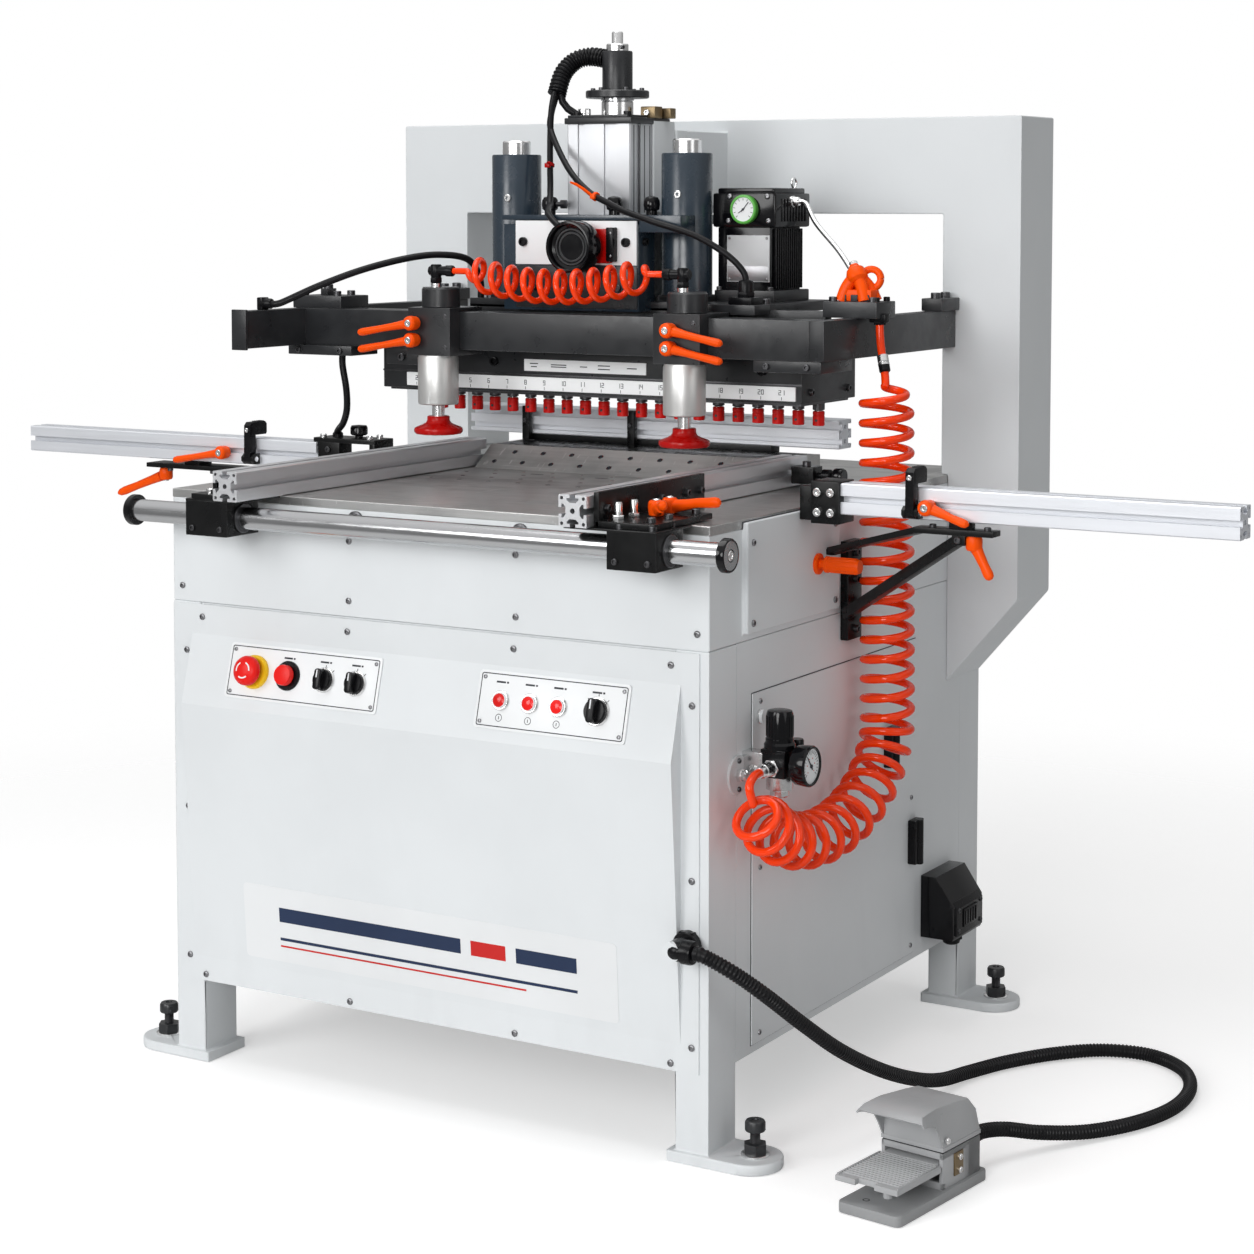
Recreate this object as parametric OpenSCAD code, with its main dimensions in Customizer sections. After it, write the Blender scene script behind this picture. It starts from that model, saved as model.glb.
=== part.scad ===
// Line boring machine: a portal frame over a steel table, a row of geared
// drilling spindles fed down by an air cylinder, two hold-downs on a clamp beam,
// sliding side rails on a front guide rod, outer fences, a control console and a foot pedal.
// Millimetres. Z is up from the floor, X runs along the front, Y runs from the front to the back.

/* [Cabinet] */
// Width of the cabinet across the front
cabinet_w = 850; // [840:2:856]
// Depth of the cabinet from front to back
cabinet_d = 834; // [830:1:840]
// Height of the table above the floor
table_z = 800; // [798:1:802]
// Height of the seam between cabinet and table box
seam_z = 645; // [640:1:650]
// Height of the lower edge of the panels
skirt_z = 113; // [100:1:120]
// Width of a corner post along the front
post_x = 48; // [44:1:52]
// Width of a corner post along the side
post_y = 70; // [66:1:76]
// Thickness of the foot plates
foot_t = 14; // [10:1:18]
// Thickness of the panel sheet
sheet = 2; // [1.5:0.5:3]

/* [Portal] */
// Width of the portal outside its legs
arch_w = 1070; // [1060:2:1080]
// Depth of the portal from front to back
arch_d = 121; // [110:1:130]
// Height of the portal's top
arch_z = 1318; // [1310:1:1330]
// Width of the window in the portal
window_w = 830; // [820:2:836]
// Height of the top of the window
window_z = 1178; // [1174:1:1182]
// Height of the outer foot of a portal leg
leg_z = 624; // [610:1:630]
// Height of the inner foot of a portal leg
gusset_z = 497; // [480:1:510]
// Wall of the portal's box section
arch_wall = 4; // [3:0.5:6]

/* [Drilling head] */
// Distance between neighbouring spindles
spindle_pitch = 32; // [32:1:32]
// Downward travel of the drilling head
head_travel = 44; // [30:1:44]
// Height of the lower end of the spindle caps at rest
cap_z = 882; // [880:1:886]
// Diameter of a red spindle cap
cap_d = 17; // [14:0.5:18]
// Teeth on each spindle gear
gear_teeth = 16; // [16:1:16]
// Diameter of the head's guide rods
head_rod_d = 42; // [36:1:44]
// Diameter of the guide sleeves round those rods
sleeve_d = 72; // [64:1:74]
// Side of the square feed cylinder
cylinder_w = 106; // [96:1:108]

/* [Clamp beam] */
// Length of the beam between its arms
beam_w = 828; // [820:2:832]
// Depth of the beam's square tube
beam_d = 50; // [46:1:52]
// Height of the beam's square tube
beam_h = 54; // [50:1:56]
// Thickness of the arms that carry the beam
arm_t = 22; // [18:1:24]
// Diameter of a hold-down barrel
barrel_d = 58; // [52:1:60]
// Diameter of a hold-down pad
pad_d = 70; // [60:1:72]
// Downward travel of a hold-down pad
pad_travel = 50; // [30:1:50]

/* [Fences and rails] */
// Side of the square aluminium profile
profile_w = 40; // [40:1:40]
// Distance from the centre to the end of each outer fence
fence_reach = 1015; // [1000:1:1030]
// Diameter of the front guide rod
guide_rod_d = 30; // [25:1:32]
// Distance that the rails stand out in front of the cabinet
rail_front = 100; // [96:1:104]
// Sliding travel of a rail away from the centre
rail_travel = 60; // [40:1:60]

/* [Console and hoses] */
// Depth of the console's bulge
bulge_d = 27; // [22:1:30]
// Outside diameter of the curly air hoses
air_hose_d = 11; // [9:0.5:12]
// Mean radius of the tall hose's curls
riser_curl_r = 32; // [28:1:34]
// Open curls on the hanging stretch of the tall hose
riser_open_curls = 17; // [14:1:18]
// Close curls round the lower bend of the tall hose
riser_bend_curls = 13; // [10:1:13]
// Curls of the short hose between the hold-downs
clamp_curls = 11; // [8:1:12]
// Outside diameter of the ribbed pedal hose
pedal_hose_d = 19; // [16:0.5:20]
// Ribs on the pedal hose
pedal_ribs = 90; // [60:1:92]

/* [Hidden] */
$fn = 64;
eps = 0.01;
slide_gap = 0.4;
run_gap = 0.05;
half_w = cabinet_w / 2;
// The foot plates stand out a little behind the cabinet
foot_over = 6;
// Front edge of the rails and back edge of the foot plates set the middle of the box along Y
mid_y = (cabinet_d + foot_over - rail_front) / 2;

// Portal
arch_y = cabinet_d - arch_d;
arch_hw = arch_w / 2;
window_hw = window_w / 2;
gusset_run = arch_hw - half_w;
gusset_rise = leg_z - gusset_z;
gusset_len = norm([gusset_run, gusset_rise]);
bracket_hw = 60;
bracket_y = 590;

// Table box and table
plate_t = 12;
box_wall = 4;
cover_t = 8;

// Console slope: from the top edge of the bulge down to its crease
bulge_top = 609;
crease_z = 507;
bulge_low = 121;
bulge_x0 = -390;
bulge_x1 = 386;
slope_deg = atan2(bulge_d, bulge_top - crease_z);
button_row = 52;
plate_gap = 1.5;
stop_button_x = -270;
start_button_x = -214;
selector_x = [-153, -101, 273];
lamp_x = [129, 173, 216];

// Drilling head
spindle_count = 21;
spindle_y = 505;
drive_spindle = 18;
box_hw = 350;
box_y0 = 394;
box_y1 = 560;
box_z0 = 917;
box_z1 = 1000;
cap_h = 21;
shaft_d = 10;
drive_d = 16;
gear_z = 940;
gear_h = 16;
gear_mod = spindle_pitch / gear_teeth;
column_x = 143;
column_y = 442;
column_top = 1264;
feed_y = 490;
feed_d = 25;
feed_top = 1441;
base_z = 1042;
base_t = 14;
head_top = 1177;
head_hw = 112;
cylinder_top = 1307;
piston_d = 78;
piston_h = 25;
motor_x = (drive_spindle - 1 - (spindle_count - 1) / 2) * spindle_pitch;

// Clamp beam
beam_y = 287;
beam_z = 986;
beam_hw = beam_w / 2;
arm_front = 150;
clamp_x = [-175, 228];
clamp_hw = 36;
clamp_y = 285;
clamp_z0 = 978;
clamp_z1 = 1046;
clamp_y0 = 262;
clamp_y1 = 344;
barrel_z = 908;
foot_rod_d = 18;
pad_z = 865;
pad_h = 26;

// Rails, rod and fences
rail_x = [-250, 290];
rail_back = 490;
rail_lift = 1;
rod_y0 = -58;
rod_z0 = 775;
rod_x = [-440, 480];
block_x = [[-324, -253], [333, 403]];
fence_z = 796;
fence_y = [345, 225];
fence_in = [440, 492];
rear_fence_y = 590;
rear_fence_z = table_z + 41;
rear_fence_h = 42;
rear_fence_x = [-325, 310];
bed_z = table_z + 32;

// Room that the travels need: caps over the bed, pads over the table, rails on the guide rod
assert(cap_z - head_travel > bed_z, "the caps would meet the bed");
assert(pad_z - pad_travel > table_z, "the pads would meet the table");
assert(block_x[1][1] + rail_travel < rod_x[1], "a rail would leave the guide rod");
stop_x = [-558, 596];
stop_pivot_z = 806;

// Foot pedal
pedal_x = 677;
pedal_y = -46;
pedal_w = 88;
pedal_l = 204;
pedal_case_x = [629, 716];
pedal_case_y = [59, 146];
pedal_turn = -7.5;
treadle_y = 80;
treadle_z = 40;
treadle_pin_d = 6;

// Route of the pedal hose: out of its gland, down beside the cabinet, along the floor, into the pedal
pedal_route = [
    [420, -36, 279], [440, -36, 277], [472, -18, 256], [500, 10, 226], [525, 65, 178],
    [543, 130, 131], [555, 218, 84], [560, 310, 46], [562, 395, 20], [572, 470, 11],
    [600, 540, 10], [645, 608, 10], [698, 655, 10], [760, 666, 10], [818, 630, 10],
    [852, 560, 10], [858, 478, 10], [836, 400, 10], [796, 330, 12], [756, 270, 22],
    [728, 222, 36], [713, 186, 42], [709, 159, 42]
];

// Routes of the plain cables and hoses on the head and beam
conduit_route = [
    [-21, 490, 1403], [-44, 487, 1406], [-63, 476, 1400], [-74, 460, 1381], [-76, 446, 1351]
];
horn_cable = [
    [-76, 441, 1357], [-79, 436, 1328], [-76, 428, 1290], [-70, 418, 1250], [-62, 406, 1216],
    [-53, 390, 1192], [-44, 372, 1186], [-32, 354, 1178], [-16, 346, 1166], [6, 342, 1152]
];
motor_cable = [
    [-76, 450, 1357], [-84, 444, 1324], [-76, 430, 1298], [-40, 408, 1254], [-8, 392, 1226],
    [26, 378, 1206], [56, 367, 1195], [92, 353, 1183], [145, 346, 1168], [205, 352, 1150],
    [250, 362, 1124], [273, 369, 1100], [276, 370, 1084]
];
arm_hose = [
    [-410, 205, 1049], [-396, 206, 1050], [-350, 238, 1075], [-300, 276, 1098],
    [-252, 318, 1114], [-218, 352, 1119], [-192, 386, 1112], [-182, 402, 1086], [-182, 405, 1056]
];
drop_hose = [
    [-367, 315, 972], [-367, 315, 955], [-362, 317, 920], [-368, 326, 890], [-388, 344, 868],
    [-412, 365, 856], [-424, 376, 849], [-424, 378, 843]
];
braided_hose = [[290, 500, 1196], [302, 499, 1193], [330, 474, 1166], [380, 442, 1130], [410, 421, 1104]];
arm_hose_d = 10;
cable_d = 9;
conduit_d = 28;
conduit_ribs = 12;

function spindle_name(i) = str("spindle_", i < 10 ? "0" : "", i);
function spindle_x(i) = (i - 1 - (spindle_count - 1) / 2) * spindle_pitch;

// Shared shapes

module slab(x, y, z) {
    translate([x[0], y[0], z[0]])
        cube([x[1] - x[0], y[1] - y[0], z[1] - z[0]]);
}

module rod_along_x(d, x, y, z) {
    translate([x[0], y, z])
        rotate([0, 90, 0])
            cylinder(d = d, h = x[1] - x[0]);
}

module rod_along_y(d, x, y, z) {
    translate([x, y[0], z])
        rotate([-90, 0, 0])
            cylinder(d = d, h = y[1] - y[0]);
}

module rod_along_z(d, x, y, z) {
    translate([x, y, z[0]])
        cylinder(d = d, h = z[1] - z[0]);
}

module extrude_along_x(x) {
    translate([x[0], 0, 0])
        rotate([90, 0, 90])
            linear_extrude(x[1] - x[0])
                children();
}

module extrude_along_y(y) {
    translate([0, y[1], 0])
        rotate([90, 0, 0])
            linear_extrude(y[1] - y[0])
                children();
}

module both_sides() {
    children();
    mirror([1, 0, 0])
        children();
}

// Local Z points straight out of the console's slope
module on_slope(x, lift = 0) {
    y = -button_row * sin(slope_deg);
    z = bulge_top - button_row * cos(slope_deg);
    translate([x, y, z])
        rotate([90 - slope_deg, 0, 0])
            translate([0, 0, lift])
                children();
}

// Section of an aluminium profile: a shallow groove on each side, one per profile width
module profile_section(w, h) {
    groove_w = 8;
    groove_d = 3.5;
    cells = round(h / w * 40 / profile_w);
    difference() {
        square([w, h]);
        for (x = [0, w - groove_d], i = [0:cells - 1])
            translate([x, (i + 0.5) * h / cells - groove_w / 2])
                square([groove_d, groove_w]);
        for (y = [0, h - groove_d])
            translate([w / 2 - groove_w / 2, y])
                square([groove_w, groove_d]);
    }
}

// A clamping lever: hub with its axis along local Z and an arm along local X
module clamp_lever(reach, hub_h = 18) {
    hub_d = 20;
    arm_d = 11;
    cylinder(d = hub_d, h = hub_h);
    translate([0, 0, hub_h - arm_d / 2])
        rotate([0, 90, 0])
            cylinder(d = arm_d, h = reach);
}

// Swept tubes

// Length of a route up to each of its points
function reached(points) =
    [for (i = 0, s = 0; i < len(points); s = s + leg(points, i), i = i + 1) s];

function leg(points, i) = i + 1 < len(points) ? norm(points[i + 1] - points[i]) : 0;

// Point at the fraction t of a route's length, on a smooth curve through its points
function along(points, t) =
    let (n = len(points) - 1, s = reached(points), goal = t * s[n],
         i = max([for (k = [0:n - 1]) s[k] <= goal ? k : 0]), f = (goal - s[i]) / (s[i + 1] - s[i]),
         a = points[max(i - 1, 0)], b = points[i], c = points[i + 1], d = points[min(i + 2, n)])
    0.5 * (2 * b + (c - a) * f + (2 * a - 5 * b + 4 * c - d) * f * f + (3 * b - a - 3 * c + d) * f * f * f);

function unit(v) = v / norm(v);

// Side vector of a ring, carried on from the ring before it so that the tube doesn't twist
function carried_sides(path, k = 0, last = [1, 0.02, 0.03], out = []) =
    k == len(path) ? out :
    let (t = unit(path[min(k + 1, len(path) - 1)] - path[max(k - 1, 0)]),
         s = unit(last - t * (last * t)))
    carried_sides(path, k + 1, s, concat(out, [s]));

function ring(path, sides, k, r, n) =
    let (t = unit(path[min(k + 1, len(path) - 1)] - path[max(k - 1, 0)]), u = sides[k], v = cross(t, u))
    [for (j = [0:n - 1]) path[k] + r * (cos(360 * j / n) * u + sin(360 * j / n) * v)];

function skin(rings, n, flip = false) =
    [for (k = [0:rings - 2], j = [0:n - 1], half = [0, 1])
        let (a = k * n + j, b = k * n + (j + 1) % n, tri = half == 0 ? [a, b, b + n] : [a, b + n, a + n])
        flip ? tri : [tri[2], tri[1], tri[0]]];

module tube(path, radii, n) {
    sides = carried_sides(path);
    count = len(path);
    points = [for (k = [0:count - 1]) each ring(path, sides, k, radii[k], n)];
    last = (count - 1) * n;
    caps = concat(
        [for (j = [1:n - 2]) [0, j, j + 1]],
        [for (j = [1:n - 2]) [last, last + j + 1, last + j]]
    );
    polyhedron(points, concat(skin(count, n), caps), convexity = 10);
}

// A tube with a bore: the outer skin may have ribs, and the inner one is smooth
module hollow_tube(path, radii, bore_r, n) {
    sides = carried_sides(path);
    count = len(path);
    // The bore needs a ring only at every second one of the skin's rings
    bore_rings = concat([for (k = [0:2:count - 2]) k], [count - 1]);
    bore_count = len(bore_rings);
    outer = [for (k = [0:count - 1]) each ring(path, sides, k, radii[k], n)];
    inner = [for (k = bore_rings) each ring(path, sides, k, bore_r, n)];
    size = count * n;
    inside = [for (tri = skin(bore_count, n, true)) tri + [size, size, size]];
    rims = [for (j = [0:n - 1], half = [0, 1], end = [0, 1])
        let (a = end * (count - 1) * n + j, b = end * (count - 1) * n + (j + 1) % n,
             step = size + end * (bore_count - count) * n,
             tri = half == 0 ? [a, b, b + step] : [a, b + step, a + step])
        end == 0 ? tri : [tri[2], tri[1], tri[0]]];
    polyhedron(concat(outer, inner), concat(skin(count, n), inside, rims), convexity = 10);
}

module cable(points, d, n = 8) {
    steps = 2 * (len(points) - 1);
    path = [for (k = [0:steps]) along(points, k / steps)];
    tube(path, [for (p = path) d / 2], n);
}

module ribbed_hose(points, d, bore, ribs) {
    steps = 2 * ribs;
    rib_h = 0.06 * d;
    path = [for (k = [0:steps - 1]) along(points, k / (steps - 1))];
    radii = [for (k = [0:steps - 1]) d / 2 - (k % 2 == 0 ? 0 : rib_h)];
    hollow_tube(path, radii, bore / 2, 8);
}

// Least distance between the surfaces of turns that lie a turn or more apart
function least_gap(path, d, apart) =
    min([for (i = [0:len(path) - 1 - apart], j = [i + apart:len(path) - 1]) norm(path[i] - path[j])]) - d;

function ease(t) = let (c = min(max(t, 0), 1)) c * c * (3 - 2 * c);

rings_per_curl = 8;

// Tall curly hose: it hangs from the manifold and turns up again to the air unit
riser_x = 478;
riser_top = [458, 410, 1040];
riser_z = [952, 500];
riser_y = [390, 400];
bend_y = 203;
bend_a = riser_y[1] - bend_y;
bend_b = 118;
inlet = [470, 64, 492];
riser_curls = riser_open_curls + riser_bend_curls;
riser_steps = riser_curls * rings_per_curl;

function riser_axis(c) =
    c <= riser_open_curls
        ? let (t = c / riser_open_curls) [riser_x, riser_y[0] + (riser_y[1] - riser_y[0]) * t,
                                          riser_z[0] + (riser_z[1] - riser_z[0]) * t]
        : let (a = 160 * (c - riser_open_curls) / riser_bend_curls)
          [riser_x, bend_y + bend_a * cos(a), riser_z[1] - bend_b * sin(a)];

function riser_turn(k) =
    let (c = k / rings_per_curl, p = riser_axis(c),
         t = unit(riser_axis(c + 0.05) - riser_axis(max(c - 0.05, 0))),
         u = [1, 0, 0], v = cross(t, u), a = 360 * c + 180,
         r = riser_curl_r * ease(c / 0.75 + 0.12) * ease((riser_curls - c) / 0.75 + 0.12))
    p + r * (cos(a) * u + sin(a) * v);

riser_lead = [riser_top, riser_top - [0, 0, 14], riser_top + [4, -4, -40], riser_top + [14, -12, -72]];
riser_tail = [[474, 10, 482], [472, 26, 491], [471, 42, 493], inlet - [0, 11, 0], inlet];
riser_path = concat(riser_lead, [for (k = [0:riser_steps]) riser_turn(k)], riser_tail);
echo(riser_coil_least_gap = least_gap(riser_path, air_hose_d, rings_per_curl - 1));

// Short curly hose between the two hold-downs, sagging in the middle
clamp_hose_d = 9;
clamp_curl_r = 21;
clamp_hose_y = 281;
elbow_z = 1098;
clamp_hose_x = [clamp_x[0] + 30, clamp_x[1] - 30];
clamp_sag = 20;
clamp_steps = clamp_curls * rings_per_curl;

function clamp_turn(k) =
    let (t = k / clamp_steps, c = k / rings_per_curl, a = 360 * c + 180,
         x0 = clamp_hose_x[0] + 24, x1 = clamp_hose_x[1] - 24,
         r = clamp_curl_r * ease(c / 0.7 + 0.1) * ease((clamp_curls - c) / 0.7 + 0.1))
    [x0 + (x1 - x0) * t, clamp_hose_y + r * cos(a), elbow_z - 4 * clamp_sag * t * (1 - t) + r * sin(a)];

clamp_path = concat(
    [[clamp_hose_x[0], clamp_hose_y, elbow_z], [clamp_hose_x[0] + 10, clamp_hose_y, elbow_z]],
    [for (k = [0:clamp_steps]) clamp_turn(k)],
    [[clamp_hose_x[1] - 10, clamp_hose_y, elbow_z], [clamp_hose_x[1], clamp_hose_y, elbow_z]]
);
echo(clamp_coil_least_gap = least_gap(clamp_path, clamp_hose_d, rings_per_curl - 1));

// Cabinet

module corner_post(y) {
    mid = (y[0] + y[1]) / 2;
    plate_d = post_y + 2 * foot_over;
    bolt_x = half_w + plate_d / 2 + 6;
    difference() {
        union() {
            slab([half_w - post_x, half_w], y, [foot_t - eps, seam_z]);
            slab([half_w - post_x - 10, half_w + plate_d / 2],
                 [y[0] - foot_over, y[1] + foot_over], [0, foot_t]);
            rod_along_z(plate_d, half_w + plate_d / 2, mid, [0, foot_t]);
        }
        rod_along_z(13, bolt_x, mid, [-1, foot_t + 1]);
    }
}

module frame_rails(z) {
    tube_w = 40;
    inset = 3;
    for (y = [inset, cabinet_d - inset - tube_w])
        slab([-half_w + post_x - eps, half_w - post_x + eps], [y, y + tube_w], z);
    both_sides()
        slab([half_w - inset - tube_w, half_w - inset], [post_y - eps, cabinet_d - post_y + eps], z);
}

module base_frame() {
    color("gainsboro") {
        both_sides() {
            corner_post([0, post_y]);
            corner_post([cabinet_d - post_y, cabinet_d]);
        }
        frame_rails([skirt_z, skirt_z + 40]);
        frame_rails([seam_z - 40, seam_z]);
    }
}

module levelling_bolts() {
    bolt_x = half_w + (post_y + 2 * foot_over) / 2 + 6;
    color("dimgray")
        both_sides()
            for (y = [post_y / 2, cabinet_d - post_y / 2])
                translate([bolt_x, y, 0]) {
                    translate([0, 0, 2])
                        cylinder(d = 12, h = 57);
                    translate([0, 0, foot_t])
                        cylinder(d = 32, h = 16, $fn = 6);
                    translate([0, 0, foot_t + 31])
                        cylinder(d = 26, h = 14);
                }
}

module bulge_section(set_back) {
    polygon([[set_back, bulge_top], [set_back - bulge_d, crease_z], [set_back, bulge_low]]);
}

module control_plate(x, w, h) {
    translate([x - w / 2, 0, 0])
        translate([0, -h / 2, 0])
            cube([w, h, plate_gap]);
}

module console_holes() {
    hole_d = 22.8;
    for (x = concat([stop_button_x, start_button_x], selector_x))
        on_slope(x, -20)
            cylinder(d = hole_d, h = 40);
}

module front_console() {
    edge = 13;
    plate_h = 73;
    color("gainsboro") {
        difference() {
            union() {
                slab([-half_w + edge, half_w - edge], [-sheet, 0], [skirt_z + 2, seam_z - 3]);
                extrude_along_x([bulge_x0, bulge_x1])
                    bulge_section(0);
            }
            extrude_along_x([bulge_x0 + sheet, bulge_x1 - sheet])
                bulge_section(sheet);
            console_holes();
        }
        difference() {
            union() {
                on_slope(0, 0)
                    control_plate(-190, 252, plate_h);
                on_slope(0, 0)
                    control_plate(205, 224, plate_h);
                for (x = lamp_x)
                    on_slope(x, plate_gap - eps)
                        cylinder(d = 20, h = 6);
            }
            console_holes();
        }
        // Elbow gland that the pedal hose comes out of
        rod_along_y(34, 398, [-12, -sheet], 279);
        rod_along_y(24, 398, [-48, -12 + eps], 279);
        rod_along_x(24, [398, 412], -36, 279);
        rod_along_x(28, [412 - eps, 420], -36, 279);
    }
}

module access_cover() {
    slab([half_w, half_w + sheet], [110, 604], [124, 576]);
    // Black hinge on the back edge, a catch further in and a lock near the front edge
    slab([half_w + sheet, half_w + sheet + 12], [580, 607], [256, 318]);
    slab([half_w + sheet, half_w + sheet + 12], [498, 525], [410, 465]);
    rod_along_x(18, [half_w + sheet, half_w + sheet + 8], 128, 545);
}

module cabinet_panels() {
    side_y = [post_y + 0.5, cabinet_d - post_y - 0.5];
    panel_z = [skirt_z, seam_z];
    color("gainsboro") {
        slab([-half_w, -half_w + 3], side_y, panel_z);
        difference() {
            slab([half_w - 3, half_w], side_y, panel_z);
            slab([half_w - 4, half_w + 1], [124, 590], [138, 562]);
        }
        slab([-half_w + post_x + 0.5, half_w - post_x - 0.5], [cabinet_d - 3, cabinet_d], panel_z);
        access_cover();
    }
}

module table_box() {
    top = table_z - plate_t;
    color("gainsboro") {
        difference() {
            slab([-half_w, half_w], [0, cabinet_d], [seam_z, top]);
            slab([-half_w + box_wall, half_w - box_wall],
                 [box_wall, cabinet_d - box_wall], [seam_z - 1, top + 1]);
        }
        // Side cover that stands proud of the box
        slab([half_w, half_w + cover_t], [84, 345], [655, 796]);
    }
}

module work_table() {
    color("silver")
        slab([-half_w, half_w], [0, cabinet_d], [table_z - plate_t, table_z]);
}

// Portal

function leg_outline(t) = [
    [half_w + t, gusset_z + t * (gusset_len + gusset_rise) / gusset_run],
    [arch_hw - t, leg_z + t * (gusset_len - gusset_rise) / gusset_run],
    [arch_hw - t, arch_z - t]
];

function window_outline(t) = [
    [window_hw + t, window_z + t],
    [window_hw + t, table_z + t],
    [half_w + t, table_z + t]
];

function flipped(points) = [for (i = [len(points) - 1:-1:0]) [-points[i][0], points[i][1]]];

module arch_section(t) {
    polygon(concat(leg_outline(t), flipped(leg_outline(t)), flipped(window_outline(t)), window_outline(t)));
}

module arch() {
    cover_d = 3;
    color("gainsboro") {
        difference() {
            extrude_along_y([arch_y, cabinet_d])
                arch_section(0);
            extrude_along_y([arch_y + arch_wall, cabinet_d + 1])
                arch_section(arch_wall);
        }
        extrude_along_y([cabinet_d - cover_d, cabinet_d])
            arch_section(arch_wall + 0.3);
        // Short box that carries the drilling head
        slab([-bracket_hw, bracket_hw], [bracket_y, arch_y], [1190, 1300]);
    }
}

// Clamp beam and hold-downs

module clamp_beam() {
    z = [beam_z, beam_z + beam_h];
    top = z[1];
    color("dimgray") {
        slab([-beam_hw, beam_hw], [beam_y, beam_y + beam_d], z);
        slab([beam_hw - eps, beam_hw + arm_t], [beam_y, arch_y], z);
        slab([-beam_hw - arm_t, -beam_hw + eps], [arm_front, arch_y], z);
        // Blocks and plates bolted to the beam's ends
        slab([-440, -352], [292, 360], [top - eps, top + 18]);
        rod_along_z(22, -400, 326, [top + 18 - eps, top + 34]);
        slab([-440, -325], [280, 345], [beam_z - 14, beam_z + eps]);
        slab([-271, -214], [292, 330], [beam_z - 24, beam_z + eps]);
        slab([330, 430], [290, 385], [beam_z - 16, beam_z + eps]);
        both_sides()
            slab([beam_hw - 4, beam_hw + arm_t + 6], [650, arch_y], [top - eps, top + 18]);
        // Plate under the air manifold
        slab([385, 465], [385, 445], [top - eps, top + 22]);
        // Elbow that the arm hose leaves
        slab([-432, -410], [196, 214], [top - eps, top + 18]);
    }
}

module hold_down(side) {
    x = clamp_x[side];
    turn = side == 0 ? 190 : -10;
    lever_x = side == 0 ? -197 : 222;
    elbow_x = side == 0 ? [x, clamp_hose_x[0]] : [clamp_hose_x[1], x];
    beam_gap = slide_gap;
    color("dimgray")
        difference() {
            union() {
                slab([x - clamp_hw, x + clamp_hw], [clamp_y0, clamp_y1], [clamp_z0, clamp_z1]);
                rod_along_z(barrel_d, x, clamp_y, [barrel_z, clamp_z0 + eps]);
                rod_along_z(55, x, clamp_y + 8, [clamp_z1 - eps, clamp_z1 + 29]);
                // Elbow on top that faces the other hold-down
                rod_along_z(16, x, clamp_hose_y, [clamp_z1 + 29 - eps, elbow_z + 9]);
                rod_along_x(15, elbow_x, clamp_hose_y, elbow_z);
                for (z = [1024, 1000])
                    translate([lever_x, clamp_y0 + eps, z])
                        rotate([90, 0, 0])
                            rotate([0, 0, turn])
                                clamp_lever(86);
            }
            slab([x - clamp_hw - 1, x + clamp_hw + 1],
                 [beam_y - beam_gap, beam_y + beam_d + beam_gap],
                 [beam_z - beam_gap, beam_z + beam_h + beam_gap]);
            rod_along_z(foot_rod_d + 2 * run_gap, x, clamp_y, [barrel_z - 1, clamp_z0 - 2]);
        }
}

module hold_down_foot(side) {
    r = pad_d / 2;
    color("red")
        translate([clamp_x[side], clamp_y, pad_z]) {
            rotate_extrude()
                polygon([[0, 0], [r - 8, 0], [r - 2, 2], [r, 6], [r - 2, 10],
                         [20, 15], [16, 19], [16, pad_h], [0, pad_h]]);
            translate([0, 0, pad_h - eps])
                cylinder(d = foot_rod_d, h = clamp_z0 - 5 - pad_z - pad_h);
        }
}

// Drilling head

module head_carrier() {
    base_top = base_z + base_t;
    bolt_hole = feed_d + 1;
    color("darkslategray") {
        difference() {
            union() {
                slab([-195, 300], [395, 590], [base_z, base_top]);
                slab([180, 300], [350, 395 + eps], [base_z, base_top]);
                slab([-head_hw, head_hw], [360, 405], [base_z, head_top]);
                slab([-head_hw, head_hw], [405 - eps, 590], [head_top - 14, head_top]);
                slab([-head_hw, 60], [560, 590], [base_z, 1300]);
                slab([-195, 384], [395, 415], [base_z - 16, base_z + 6]);
                slab([head_hw - eps, 178], [362, 404], [head_top - 24, head_top]);
                both_sides()
                    rod_along_z(sleeve_d, column_x, column_y, [base_z - 12, column_top]);
                slab([258, 294], [352, 388], [base_top - eps, base_top + 10]);
                rod_along_z(20, 276, 370, [base_top + 10 - eps, 1084]);
            }
            both_sides()
                rod_along_z(head_rod_d + 2 * run_gap, column_x, column_y, [base_z - 20, column_top + 1]);
            rod_along_z(bolt_hole, 0, feed_y, [base_z - 1, head_top + 1]);
            rod_along_z(drive_d + 1, motor_x, spindle_y, [base_z - 1, base_top + 1]);
        }
        // Depth-stop housing on top of the feed cylinder
        difference() {
            union() {
                rod_along_z(92, 0, feed_y, [1345, 1356]);
                rod_along_z(44, 0, feed_y, [1356 - eps, 1413]);
                rod_along_z(32, 0, feed_y, [1413 - eps, 1423]);
            }
            rod_along_z(feed_d + 2 * run_gap, 0, feed_y, [1340, 1430]);
        }
    }
}

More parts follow.
